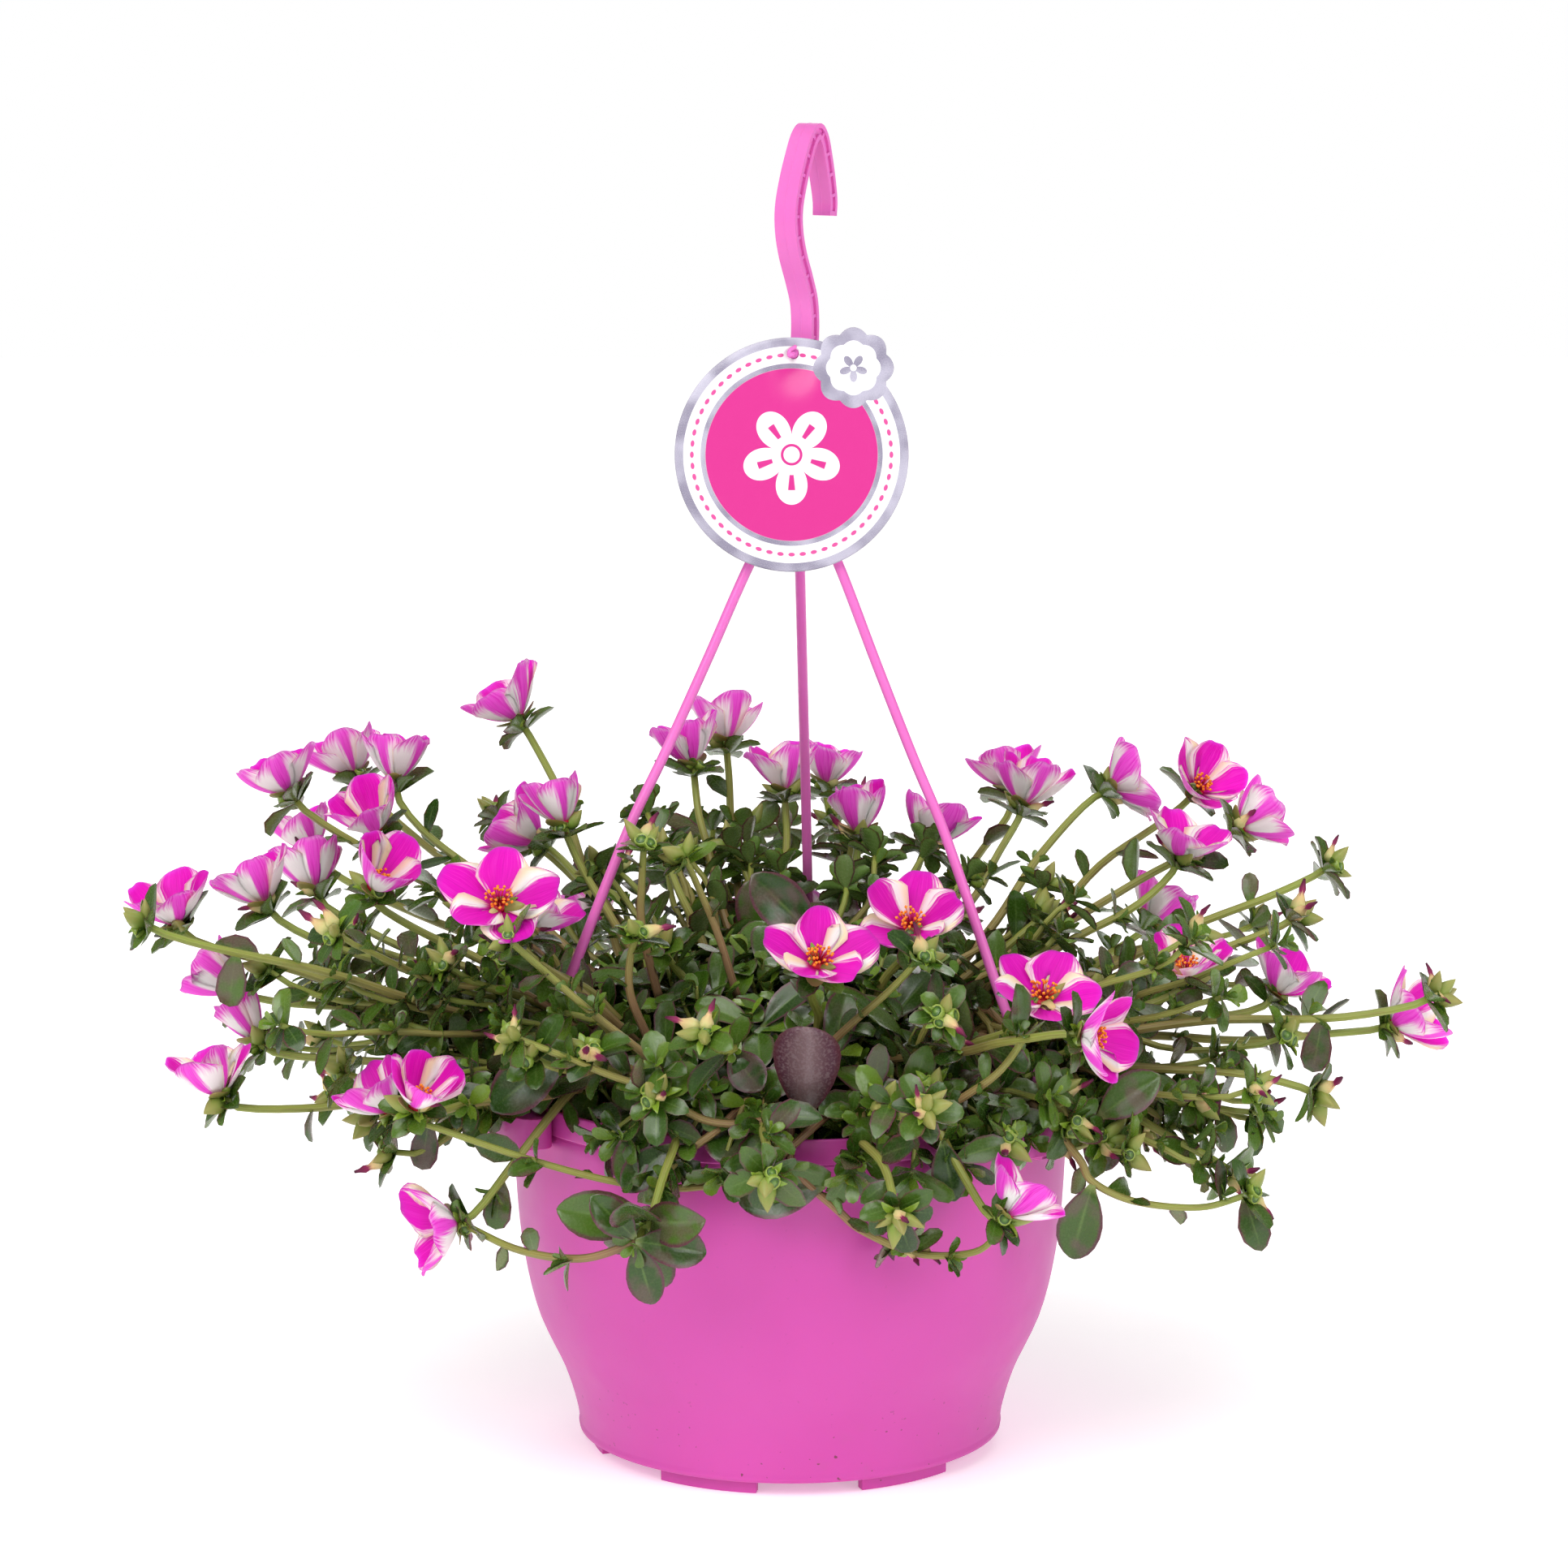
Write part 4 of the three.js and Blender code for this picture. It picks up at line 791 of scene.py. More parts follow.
class Blade:
    """Both faces of a blade in rows from its foot to its end, joined along its edge. Where it is
    rounded, the rows lie closer together near its foot and its end."""

    def __init__(self, rows, columns, rounded=True):
        front, back, points, faces = {}, {}, [], []

        def point(i, j, side):
            points.append((rounded_share(i / rows) if rounded else i / rows, 2 * j / columns - 1, side))
            return len(points) - 1

        for i in range(rows + 1):
            for j in range(columns + 1):
                on_edge = i in (0, rows) or j in (0, columns)
                front[i, j] = point(i, j, 0 if on_edge else 1)
                back[i, j] = front[i, j] if on_edge else point(i, j, -1)
        for i in range(rows):
            for j in range(columns):
                square = [(i, j), (i + 1, j), (i + 1, j + 1), (i, j + 1)]
                faces.append([front[corner] for corner in square])
                faces.append([back[corner] for corner in reversed(square)])
        self.faces = np.array(faces)
        self.along, self.across, self.side = np.array(points).T
        self.places = np.stack([self.across, self.along, self.side], -1)
        self.rim = self.side == 0


# ---- pot


def rounded_profile(corners, radius, steps=3):
    """Outline of (radius, height) points with each inner corner cut by a small arc."""
    corners = np.array(corners, float)
    points = [corners[0]]
    for before, corner, after in zip(corners, corners[1:], corners[2:]):
        towards, away = unit(before - corner), unit(after - corner)
        cut = min(radius, np.linalg.norm(before - corner) / 2, np.linalg.norm(after - corner) / 2)
        for k in range(steps + 1):
            t = k / steps
            points.append((1 - t) ** 2 * (corner + towards * cut) + 2 * t * (1 - t) * corner
                          + t**2 * (corner + away * cut))
    points.append(corners[-1])
    return np.array(points)


POT_SIDES = 160
GROOVE_DEPTH = 0.35
PARTING_HEIGHT = 124.5      # of the fine line where the mould parts
PARTING_DEPTH = 0.18
LIP_HEIGHT = 9.5            # of the small lip round the base
BASE_LIP = [(90.4, BASE_HEIGHT), (91.9, BASE_HEIGHT + 0.8), (92.2, LIP_HEIGHT - 1), (91.7, LIP_HEIGHT)]
FOOT_STEPS = 13


def make_pot():
    wall = smooth_line(POT_PROFILE, 28)
    wall = wall[wall[:, 1] > LIP_HEIGHT + 1]
    wall[:, 0] -= PARTING_DEPTH * np.exp(-(((wall[:, 1] - PARTING_HEIGHT) / 0.9) ** 2))
    groove, groove_radius = RIM_BAND_HEIGHT, POT_PROFILE[-1][0] - GROOVE_DEPTH
    band = rounded_profile([
        (POT_PROFILE[-1][0], groove - 1.2), (groove_radius, groove - 0.6), (groove_radius, groove),
        (RIM_RADIUS, groove + 0.3), (RIM_RADIUS, RIM_HEIGHT), (RIM_RADIUS - WALL, RIM_HEIGHT),
        (RIM_RADIUS - WALL - 0.6, groove), (POT_PROFILE[-2][0] - WALL, 120),
    ], 0.9)
    inner = smooth_line([(r - WALL, z) for r, z in POT_PROFILE[-3:0:-1]], 14)
    profile = np.vstack([
        [(0.01, BASE_HEIGHT)], BASE_LIP, wall[wall[:, 1] < groove - 1.2], band, inner,
        [(89.3, FLOOR_HEIGHT), (0.01, FLOOR_HEIGHT)]])
    piece = plastic_piece("pot_wall", "pot")
    piece.put(lathe(profile, POT_SIDES))
    piece.make()
    for number, azimuth in enumerate(ARM_AZIMUTHS, 1):
        make_ear(f"pot_ear_{number}", azimuth)
    feet = plastic_piece("pot_feet", "pot")
    half, top = FOOT_WIDTH / 2, BASE_HEIGHT + 0.5
    section = [(-half, top), (-half, 0), (half, 0), (half, top)]
    for k in range(FOOT_COUNT):
        middle = FOOT_START + k * 360 / FOOT_COUNT
        turns = np.linspace(middle - FOOT_ARC / 2, middle + FOOT_ARC / 2, FOOT_STEPS)
        points = [[polar(turn, FOOT_RADIUS + out, z) for out, z in section] for turn in turns]
        feet.add(np.reshape(points, (-1, 3)), tube_faces(FOOT_STEPS, len(section)))
    feet.make(bevel=0.5)


EAR_POINTS = 40
EAR_POWER = 0.55        # the lower, the squarer the ear
SLOT_GAP = 0.3


def make_ear(name, azimuth):
    """A lug outside the rim with a slot that an arm's flat end goes down through."""
    root = RIM_RADIUS - 1.6
    reach = EAR_OUT - root
    outer, slot = [], []
    half_depth, half_width = STRIP_THICKNESS / 2 + SLOT_GAP, STRIP_WIDTH / 2 + SLOT_GAP
    for turn in np.linspace(0, 2 * math.pi, EAR_POINTS, endpoint=False):
        c, s = math.cos(turn), math.sin(turn)
        out = np.sign(c) * abs(c) ** EAR_POWER
        wide = np.sign(s) * abs(s) ** EAR_POWER
        outer.append((root + reach * (0.5 + 0.5 * out), EAR_WIDTH / 2 * wide * (1 - 0.25 * max(0, out) ** 2)))
        side = max(abs(c) / half_depth, abs(s) / half_width)
        slot.append((SLOT_RADIUS + c / side, s / side))
    points, faces = layered([outer, outer, slot, slot], [EAR_TOP, EAR_BOTTOM, EAR_BOTTOM, EAR_TOP])
    piece = plastic_piece(name, "pot")
    piece.put((points, faces[:, ::-1], (0, 0, 0)), about_z(azimuth))
    piece.make(bevel=0.7)


def layered(outlines, heights):
    """A ring of points at each height, joined one to the next and the last to the first."""
    points = np.vstack([np.column_stack([line, np.full(len(line), z)]) for line, z in zip(outlines, heights)])
    count = len(outlines[0])
    closing = grid_faces(2, count, True)
    closing = np.where(closing < count, closing + (len(outlines) - 1) * count, closing - count)
    return points, np.vstack([grid_faces(len(outlines), count, True), closing])


SOIL_RINGS, SOIL_SIDES = 40, 120
SOIL_SKIRT = 12         # how far the crumbly top reaches down at its edge
CRUMBS = (-1.6, 0.8)


def make_soil():
    """The crumbly top of the peat, which shows dark between the leaves."""
    edge = POT_PROFILE[-2][0] - WALL - 0.4
    random = np.random.default_rng(7)
    radius = np.linspace(0.5, edge, SOIL_RINGS)[:, None].repeat(SOIL_SIDES, 1)
    turn = np.tile(turns_of(SOIL_SIDES), (SOIL_RINGS, 1))
    slope = SOIL_CROWN_HEIGHT + (SOIL_EDGE_HEIGHT - SOIL_CROWN_HEIGHT) * radius / edge
    height = slope + random.uniform(*CRUMBS, (SOIL_RINGS, SOIL_SIDES))
    top = np.stack([radius * np.cos(turn), radius * np.sin(turn), height], -1).reshape(-1, 3)
    piece = Piece("soil_top", "soil", [], "peat")
    last = (SOIL_RINGS - 1) * SOIL_SIDES
    around = np.arange(SOIL_SIDES)
    piece.add(np.vstack([top, top[last:] - (0, 0, SOIL_SKIRT)]), (
        grid_faces(SOIL_RINGS, SOIL_SIDES, True), grid_faces(2, SOIL_SIDES, True) + last,
        around[None, ::-1], (around + last + SOIL_SIDES)[None]))
    piece.make()


# ---- hanger and tag


STRIP_ROOT = 166        # where an arm's round rod ends in its flat end
HUB_FOOT = 1.5          # how much wider the hub is at its foot


def make_hanger():
    bottom = EAR_BOTTOM - STOP_HEIGHT
    half, wide = STRIP_THICKNESS / 2, STRIP_WIDTH / 2
    strip = box_section(half, wide)
    for number, azimuth in enumerate(ARM_AZIMUTHS, 1):
        offset = polar(azimuth, SLOT_RADIUS, 0)[:2] - HUB[:2]
        stretch = np.linalg.norm(offset) / SLOT_RADIUS
        aim = azimuth_of(offset)
        path = [*ARM_PATH[:-1], (SLOT_RADIUS - 8, STRIP_TOP), (SLOT_RADIUS, STRIP_ROOT)]
        line = smooth_line([(r * stretch, 0, z) for r, z in path], 60)
        arm = plastic_piece(f"hanger_arm_{number}", "hanger")
        arm.put(swept(circle(ARM_RADIUS, 16), line), about_z(aim, HUB))
        arm.make()
        end = plastic_piece(f"hanger_end_{number}", "hanger")
        tall = [(SLOT_RADIUS, 0, z) for z in (bottom, STRIP_ROOT, STRIP_ROOT + 5)]
        end.put(swept(strip, tall, (1, 1, 0.8), (0, 1, 0)), about_z(azimuth))
        bar = strip * ((half + 0.8) / half, STOP_WIDTH / STRIP_WIDTH)
        short = [(SLOT_RADIUS, 0, z) for z in (bottom - 0.3, bottom + STOP_HEIGHT - 0.4)]
        end.put(swept(bar, short, 1, (0, 1, 0)), about_z(azimuth))
        end.make(bevel=0.5)
    make_hook()
    hub = plastic_piece("hanger_hub", "hanger")
    half = HUB_HEIGHT / 2
    foot = HUB_RADIUS + HUB_FOOT
    profile = [(0.01, -half), (foot, -half), (foot, -half + 3), (HUB_RADIUS, -half + 5), (HUB_RADIUS, half),
               (0.01, half)]
    hub.put(lathe(rounded_profile(profile, 1.2), 48), lambda points: points + HUB)
    hub.make()
    make_peg()


HOOK_STEPS = 80
HOOK_TAPER = 0.86       # how wide the hook's end is
RIB_PITCH = 9
RIB_THICKNESS = 1.4
FIRST_RIB = 22
MOULD_LINE = 0.16       # half the width of the line down the hook's back, and its height


def make_hook():
    """The hook: two flanges on a web, cross ribs in the recesses, and a fine mould line down its back."""
    width, depth, web = HOOK_WIDTH / 2, HOOK_DEPTH / 2, HOOK_WEB / 2
    lip = depth - HOOK_FLANGE
    half = [
        (-width, -depth), (-MOULD_LINE, -depth), (0, -depth - MOULD_LINE), (MOULD_LINE, -depth),
        (width, -depth), (width, -lip), (web, -lip), (web, lip), (width, lip),
    ]
    section = [*half, *((-x, -y) for x, y in half)]
    line = smooth_line([(u, 0, z) for u, z in HOOK_PATH], HOOK_STEPS)
    taper = np.interp(np.linspace(0, 1, HOOK_STEPS), [0, 0.7, 1], [1, 1, HOOK_TAPER])
    hook = plastic_piece("hanger_hook", "hanger")
    place = about_z(HOOK_AZIMUTH, HUB)
    forward = (1, 0, 0)
    hook.put(swept(section, line, taper, forward), place)
    _, lifts = frames_along(line, forward)
    run = run_along(line)
    steps = np.arange(HOOK_STEPS)
    for at in np.arange(FIRST_RIB, run[-1] - 4, RIB_PITCH):
        low, high = np.interp([at, at + RIB_THICKNESS], run, steps)
        ends = [point_at(k, steps, line) for k in (low, high)]
        hook.put(swept(box_section(width - 0.5, lip + 0.1), ends, 1, lifts[int(low)]), place)
    tip, way = line[-1], end_way(line)
    cap = [tip - way * 1.5, tip + way * 0.4]
    hook.put(swept(box_section(width, depth), cap, HOOK_TAPER, forward), place)
    hook.make(bevel=0.35)


def tag_place(points):
    """From the tag's own plane (right, up, towards the viewer) to where it hangs."""
    lean = math.radians(90 - TAG_LEAN)
    c, s = math.cos(lean), math.sin(lean)
    turn = np.array([[1, 0, 0], [0, c, -s], [0, s, c]])
    return points @ turn.T + TAG_CENTRE


CURL_RADIUS, CURL_TAPER, CURL_STEPS = 1.25, 0.55, 28
# The peg's curl in front of the card, from the middle of the hole: right, up, towards the viewer
CURL = [(0, 0, -0.6), (-0.4, -0.3, 1.6), (-1.7, -0.9, 2.2), (-1.5, 1.2, 2.0), (0.4, 2.6, 1.5), (0.9, 3.2, 1.2)]


def make_peg():
    """The peg that holds the tag, curled over in front of it."""
    peg = plastic_piece("hanger_peg", "hanger")
    x, y = TAG_HOLE
    peg.put(swept(circle(PEG_RADIUS, 14), [(x, y, 2 - PEG_LENGTH), (x, y, 0.2)], 1, (1, 0, 0)), tag_place)
    line = smooth_line([(x + right, y + up, out) for right, up, out in CURL], CURL_STEPS)
    taper = np.interp(np.linspace(0, 1, CURL_STEPS), [0, 1], [1, CURL_TAPER])
    peg.put(swept(circle(CURL_RADIUS, 12), line, taper), tag_place)
    peg.make()


CARD_POINTS = 180
CARD_EDGE = 0.15        # how much the card's edge is eased
CARD_SHARES = (0, 0.25, 0.5, 0.75, 0.99, 1)


def card_print(points):
    """Places for a card's points: right and up on it, and which side of it they are on."""
    return np.column_stack([points[:, :2], np.sign(points[:, 2:])])


def card(front, half):
    """Both sides of a card from the outlines of its front, and its edge."""
    flat = len(front) - 1
    heights = [half] * flat + [half - CARD_EDGE, CARD_EDGE - half] + [-half] * flat
    return layered([*front, *front[::-1]], heights)


def make_tag():
    around = circle(1, CARD_POINTS)
    hole = around * TAG_HOLE_RADIUS + TAG_HOLE
    shift = around @ np.array(TAG_HOLE)
    reach = np.sqrt(shift**2 - np.dot(TAG_HOLE, TAG_HOLE) + TAG_RADIUS**2) - shift
    rim = around * reach[:, None] + TAG_HOLE
    points, faces = card([hole + (rim - hole) * share for share in CARD_SHARES], TAG_THICKNESS / 2)
    tag = Piece("tag_disc", "tag", ["tag"], "tag")
    tag.add(tag_place(points), faces[:, ::-1], card_print(points))
    tag.make()
    make_badge()


BADGE_POINTS = 128
BADGE_SHARES = (0.02, 0.35, 0.7, 0.98, 1)


def make_badge():
    waves = np.abs(np.cos(turns_of(BADGE_POINTS) * BADGE_LOBES / 2)) * 2 - 1
    outline = circle(1, BADGE_POINTS) * (BADGE_RADIUS + BADGE_WAVE * waves)[:, None]
    points, faces = card([outline * share for share in BADGE_SHARES], TAG_THICKNESS / 2 + 0.08)
    inner = np.arange(BADGE_POINTS)
    last = len(points) - BADGE_POINTS + inner
    badge = Piece("tag_badge", "tag", ["tag"], "badge")
    faces = faces[:-BADGE_POINTS, ::-1], inner[None], last[None, ::-1]
    badge.add(tag_place(points + (*BADGE_CENTRE, 0)), faces, card_print(points))
    badge.make()


# ---- laying the long shoots


def plant_of(azimuth):
    """Which plant, from 0, grows at an azimuth."""
    return int((azimuth % 360) // (360 / PLANTS))


def plant_at(place):
    return plant_of(azimuth_of(place))


BLOOM_SEAT = PETAL_THICKNESS / 2 + 0.3 + 0.05       # from the end of a stem to its bloom's base


class Shoot:
    """A long stem: where it ends and how it gets there."""

    def __init__(self, row, azimuth, axis, end, leaf, bloom=None):
        self.row, self.azimuth, self.axis, self.end = row, azimuth, axis, end
        self.leaf, self.bloom = leaf, bloom
        self.middle = end + axis * (BLOOM_MIDDLE + BLOOM_SEAT) if bloom is not None else None
        self.plant = plant_of(azimuth)
        self.points = self.control = None

    def curve(self, sway, rise):
        """Control points of the stem's Bezier curve, bent aside by its sway and up by its rise."""
        middle = (self.plant + 0.5) * 360 / PLANTS
        reach = math.hypot(*self.end[:2])
        root_azimuth = middle + OWN_SHARE * (self.azimuth % 360 - middle)
        root = polar(root_azimuth, min(SHOOT_ROOT_RADIUS, reach * 0.45), SHOOT_ROOT_HEIGHT)
        run = self.end - root
        across = unit(np.array([-run[1], run[0], 0]))
        first = root + 0.4 * run + across * sway + (0, 0, rise)
        last = self.end - self.axis * min(SHOOT_END, np.linalg.norm(run) / 4)
        return root, first, last, self.end


def samples(control):
    """Points along each straight piece of the CAD model's stem."""
    corners = spaced(control, STEM_STEPS)
    steps = np.arange(STEP_SAMPLES)[:, None] / STEP_SAMPLES
    lines = [a + (b - a) * steps for a, b in zip(corners, corners[1:])]
    return np.vstack([*lines, corners[-1:]])


def over_rim(points):
    """Whether all points over the pot's rim and ears are clear above them."""
    radius = np.hypot(points[:, 0], points[:, 1])
    outer = np.full(len(points), float(RIM_RADIUS + RIM_OUTSIDE))
    for azimuth in ARM_AZIMUTHS:
        ear = polar(azimuth, SLOT_RADIUS, 0)[:2]
        near = np.linalg.norm(points[:, :2] - ear, axis=1) < EAR_WIDTH / 2 + RIM_OUTSIDE
        outer[near] = EAR_OUT + EAR_OUTSIDE
    clear = (radius < RIM_RADIUS - RIM_INSIDE) | (radius > outer)
    return bool(np.all(clear | (points[:, 2] > RIM_HEIGHT + STEM_RADIUS + 2)))


def room(points, others):
    """The least distance between points and others."""
    gaps = points[:, None] - np.asarray(others)[None]
    return float(np.sqrt((gaps**2).sum(-1)).min())


ARM_CUTS = 8        # of each piece of an arm's path


def arm_points():
    path = [*ARM_PATH, (SLOT_RADIUS, 160)]
    return np.array([
        polar(azimuth, r0 + (r1 - r0) * k / ARM_CUTS, z0 + (z1 - z0) * k / ARM_CUTS)
        for azimuth in ARM_AZIMUTHS for (r0, z0), (r1, z1) in zip(path, path[1:]) for k in range(ARM_CUTS + 1)])


def lay(shoot, laid, middles, arms):
    """Gives a shoot the least bent of its possible ways that is clear of arms, blooms and other shoots."""
    best = -math.inf
    for sway, rise in WAYS:
        if best >= 0:
            break
        points = samples(shoot.curve(sway, rise))
        while not over_rim(points) and rise < MOST_RISE:
            rise += RISE_STEP
            points = samples(shoot.curve(sway, rise))
        least = room(points, arms) - ARM_ROOM
        others = [middle for owner, middle in middles if owner is not shoot]
        least = min(least, room(points, others) - BLOOM_ROOM)
        strangers = [other.points for other in laid if other.plant != shoot.plant]
        if strangers:
            least = min(least, room(points, np.vstack(strangers)) - SHOOT_ROOM)
        if least > best:
            best = least
            shoot.points, shoot.control = points, shoot.curve(sway, rise)
    return best


BUDDING_ROW, SIDE_ROW, ROSETTE_ROW, FRONT_ROW = 101, 500, 200, 700      # first rows of their draws
BUD_LEAN, LOW_BUD_LEAN = 48, 120        # above the rim, and below it


def list_shoots():
    shoots = []
    for row, (azimuth, reach, height, lean, lean_to, opening) in enumerate(FLOWERING, 1):
        axis = leaning(lean, lean_to)
        base = polar(azimuth, reach, height) - axis * BLOOM_MIDDLE
        end = base - axis * BLOOM_SEAT
        shoots.append(Shoot(row, azimuth, axis, end, TIP_LEAF_LENGTH, (base, opening)))
    for row, (azimuth, reach, height, *leaf) in enumerate(BUDDING, BUDDING_ROW):
        axis = leaning(LOW_BUD_LEAN if height < RIM_HEIGHT else BUD_LEAN, azimuth)
        end = polar(azimuth, reach, height) - axis * BUD_LENGTH
        shoots.append(Shoot(row, azimuth, axis, end, leaf[0] if leaf else TIP_LEAF_LENGTH))
    return shoots


# ---- what grows on the stems

SMALL_LEAF = Blade(5, 2)
LEAF = Blade(5, 4)
BROAD_LEAF = Blade(10, 8)
SMALL_LENGTH, BROAD_LENGTH = 13.5, 25     # leaves between these lengths have a middling blade
PETIOLE = 0.13          # a leaf's width at its foot, as a share of its blade's

# Kinds of leaf: ranges of the width for the length, of curl, fold and belly, then of what is added
# to the age, and of the end. One number instead of a range isn't drawn.
WHORL_LEAF = ((0.5, 0.64), (0.1, 0.7), (0.12, 0.26), (0.8, 1.05), (-0.2, 0.25), (0.5, 0.75))
TUFT_LEAF = ((0.5, 0.62), (-0.1, 0.5), (0.12, 0.24), (0.85, 1.15), 0, 0.5)
SINGLE_LEAF = ((0.46, 0.62), (-0.1, 0.5), (0.08, 0.2), (0.75, 1.0), (0.3, 0.95), (0.5, 0.8))
SPRIG_LEAF = ((0.46, 0.6), (-0.1, 0.6), (0.1, 0.22), (0.95, 1.3), (-0.1, 0.1), 0.5)


class Growth:
    """Everything that one plant carries, gathered before its pieces are made."""

    def __init__(self, number):
        name = f"plant_{number}"
        self.stems = Piece(f"{name}_stems", "leaf", [name], "stem")
        self.leaves = Piece(f"{name}_leaves", "leaf", [name], "leaf")
        self.buds = Piece(f"{name}_buds", "leaf", [name], "bud", "seed_cup", "withered")
        self.rows = {SMALL_LEAF: [], LEAF: [], BROAD_LEAF: []}

    def leaf(self, foot, direction, upper, length, width, curl, fold, belly, chance, age, end=0.5):
        """A leaf's foot, the way it points, its upper side, its sizes, how it bends and folds. The
        lower its end, the blunter it is."""
        blade = SMALL_LEAF if length < SMALL_LENGTH else LEAF if length < BROAD_LENGTH else BROAD_LEAF
        shape = (length, width, curl, fold, belly, chance, age, end)
        self.rows[blade].append([*foot, *direction, *upper, *shape])

    def drawn_leaf(self, random, kind, foot, direction, upper, length, age=0, ages=(0, 1)):
        """A leaf of a kind, with its age kept between two ages."""
        def draw_from(ends):
            return random.uniform(*ends) if isinstance(ends, tuple) else ends

        width, curl, fold, belly = map(draw_from, kind[:4])
        chance = random.random()
        older, end = map(draw_from, kind[4:])
        age = np.clip(age + older, *ages)
        self.leaf(foot, direction, upper, length, length * width, curl, fold, belly, chance, age, end)

    def make(self):
        for blade, rows in self.rows.items():
            if rows:
                add_leaves(self.leaves, np.array(rows), blade)
        for piece in (self.stems, self.leaves, self.buds):
            piece.make()


def through_wall(points):
    """Which leaves have points on both sides of the pot's wall below its rim."""
    reach, height = np.linalg.norm(points[..., :2], axis=-1), points[..., 2]
    wall = np.interp(height, [z for _, z in POT_PROFILE], [r for r, _ in POT_PROFILE])
    below = height < RIM_HEIGHT - 1
    return (below & (reach < wall - 0.6)).any(1) & (below & (reach > wall + 0.3)).any(1)


def add_leaves(piece, rows, blade):
    """All the leaves at once: each is a blade bent along an arc, with its sides folded up."""
    foot, direction, upper = rows[:, 0:3], unit(rows[:, 3:6]), rows[:, 6:9]
    length, width, curl, fold, belly, chance, age, end = (column[:, None] for column in rows[:, 9:].T)
    y = unit(np.cross(upper, direction))
    z = np.cross(direction, y)
    t, a, side = blade.along[None], blade.across[None], blade.side[None]
    at_peak = belly / (belly + end)
    peak = at_peak**belly * (1 - at_peak) ** end
    broad = np.maximum(t**belly * np.maximum(1 - t, 1e-6) ** end / peak, PETIOLE * (1 - t) ** 2)
    bend = curl * t + 1e-6
    ripple = 0.05 * np.sin(2 * math.pi * (0.8 * t + 3 * chance)) * np.abs(a) * (1 + 0.5 * a)
    thick = np.minimum(1.1, 0.04 * length + 0.25)
    rise = (fold * np.abs(a) ** 1.15 + ripple) * width * broad + side * thick / 2 * (1 - 0.35 * np.abs(a))
    forward = np.sin(bend) / (curl + 1e-6) * length + rise * np.sin(bend)
    lift = -(1 - np.cos(bend)) / (curl + 1e-6) * length + rise * np.cos(bend)
    aside = a * broad * width / 2
    points = (foot[:, None] + forward[..., None] * direction[:, None] + aside[..., None] * y[:, None]
              + lift[..., None] * z[:, None])
    kept = ~through_wall(points)
    kinds = np.hstack([chance, age, np.zeros_like(age)])[kept]
    count, leaves = len(blade.along), len(kinds)
    faces = blade.faces[None] + (np.arange(leaves) * count)[:, None, None]
    piece.add(points[kept].reshape(-1, 3), faces.reshape(-1, 4), np.tile(blade.places, (leaves, 1)),
              kinds.repeat(count, axis=0), rim=np.tile(blade.rim, leaves))


# Stems: the radius at the root and at the end, and the ages there, from 1, old and brown, to 0
LONG_STEM = (2.25, 1.6, 1.0, 0.0)
SIDE_STEM = (1.95, 1.3, 1.0, 0.05)
FRONT_STEM = (1.9, 1.4, 0.95, 0.1)
HANGING_STEM = (1.5, 0.9, 0.9, 0.1)
SPRIG_STEM = (1.2, 0.8, 0.75, 0.05)


def add_stem(growth, line, sizes, random):
    """A stem of slightly ridged section."""
    thick, thin, *ages = sizes
    count = 10 if thick > 2 else 6
    section = circle(1, count) * (1 + 0.05 * np.cos(np.arange(count) * math.pi))[:, None]
    points, faces, places = swept(section, line, np.linspace(thick, thin, len(line)))
    places[:, 1] *= run_along(line)[-1]
    kinds = np.zeros_like(points)
    kinds[:, 0] = random.random()
    kinds[:, 1] = np.linspace(*ages, len(line)).repeat(count)
    growth.stems.add(points, faces, places, kinds)


BUD_PROFILE = [(0.7, 0), (2.2, 0.9), (3.1, 3.2), (3.0, 5.4), (2.2, 8.0), (1.0, 10.6), (0.08, 12.2)]
CUP_PROFILE = [
    (0.8, 0), (2.6, 0.9), (3.4, 3.0), (3.2, 4.6), (2.8, 5.0), (2.4, 4.2), (1.5, 4.8), (0.1, 5.1),
]


def add_bud(growth, foot, axis, size, random):
    chance = random.random()
    move = stood(foot, axis, size, 360 * chance)
    growth.buds.put(lathe(BUD_PROFILE, 8, 2, 0.16), move, (chance, 0, 0), "bud")


def add_cup(growth, foot, axis, size, random):
    growth.buds.put(lathe(CUP_PROFILE, 10), stood(foot, axis, size), (random.random(), 0, 0), "seed_cup")


WITHERED_RADII = [1.0, 2.9, 3.3, 2.9, 2.0, 1.1, 1.5, 1.0, 0.5]
WITHERED_LENGTH = 16
WITHERED_BEND = 5


def add_withered(growth, foot, axis, size, random):
    """A spent flower: a pale sleeve that ends in a twisted dark tip."""
    side = unit(np.cross(axis, random.normal(size=3)))
    steps = len(WITHERED_RADII)
    along = np.linspace(0, WITHERED_LENGTH * size, steps)[:, None]
    bend = np.linspace(0, 1, steps)[:, None] ** 2.2 * WITHERED_BEND * size
    radii = np.array(WITHERED_RADII) * size * random.uniform(0.85, 1.15, steps)
    section = circle(1, 7) * (1 + 0.16 * np.cos(np.arange(7) * 4))[:, None]
    sleeve = swept(section, foot + axis * along + side * bend, radii, side)
    growth.buds.put(sleeve, kind=(random.random(), 0, 0), material="withered")


FACING = np.array([0, -0.35, 0.75])     # leaves turn their upper sides to the light


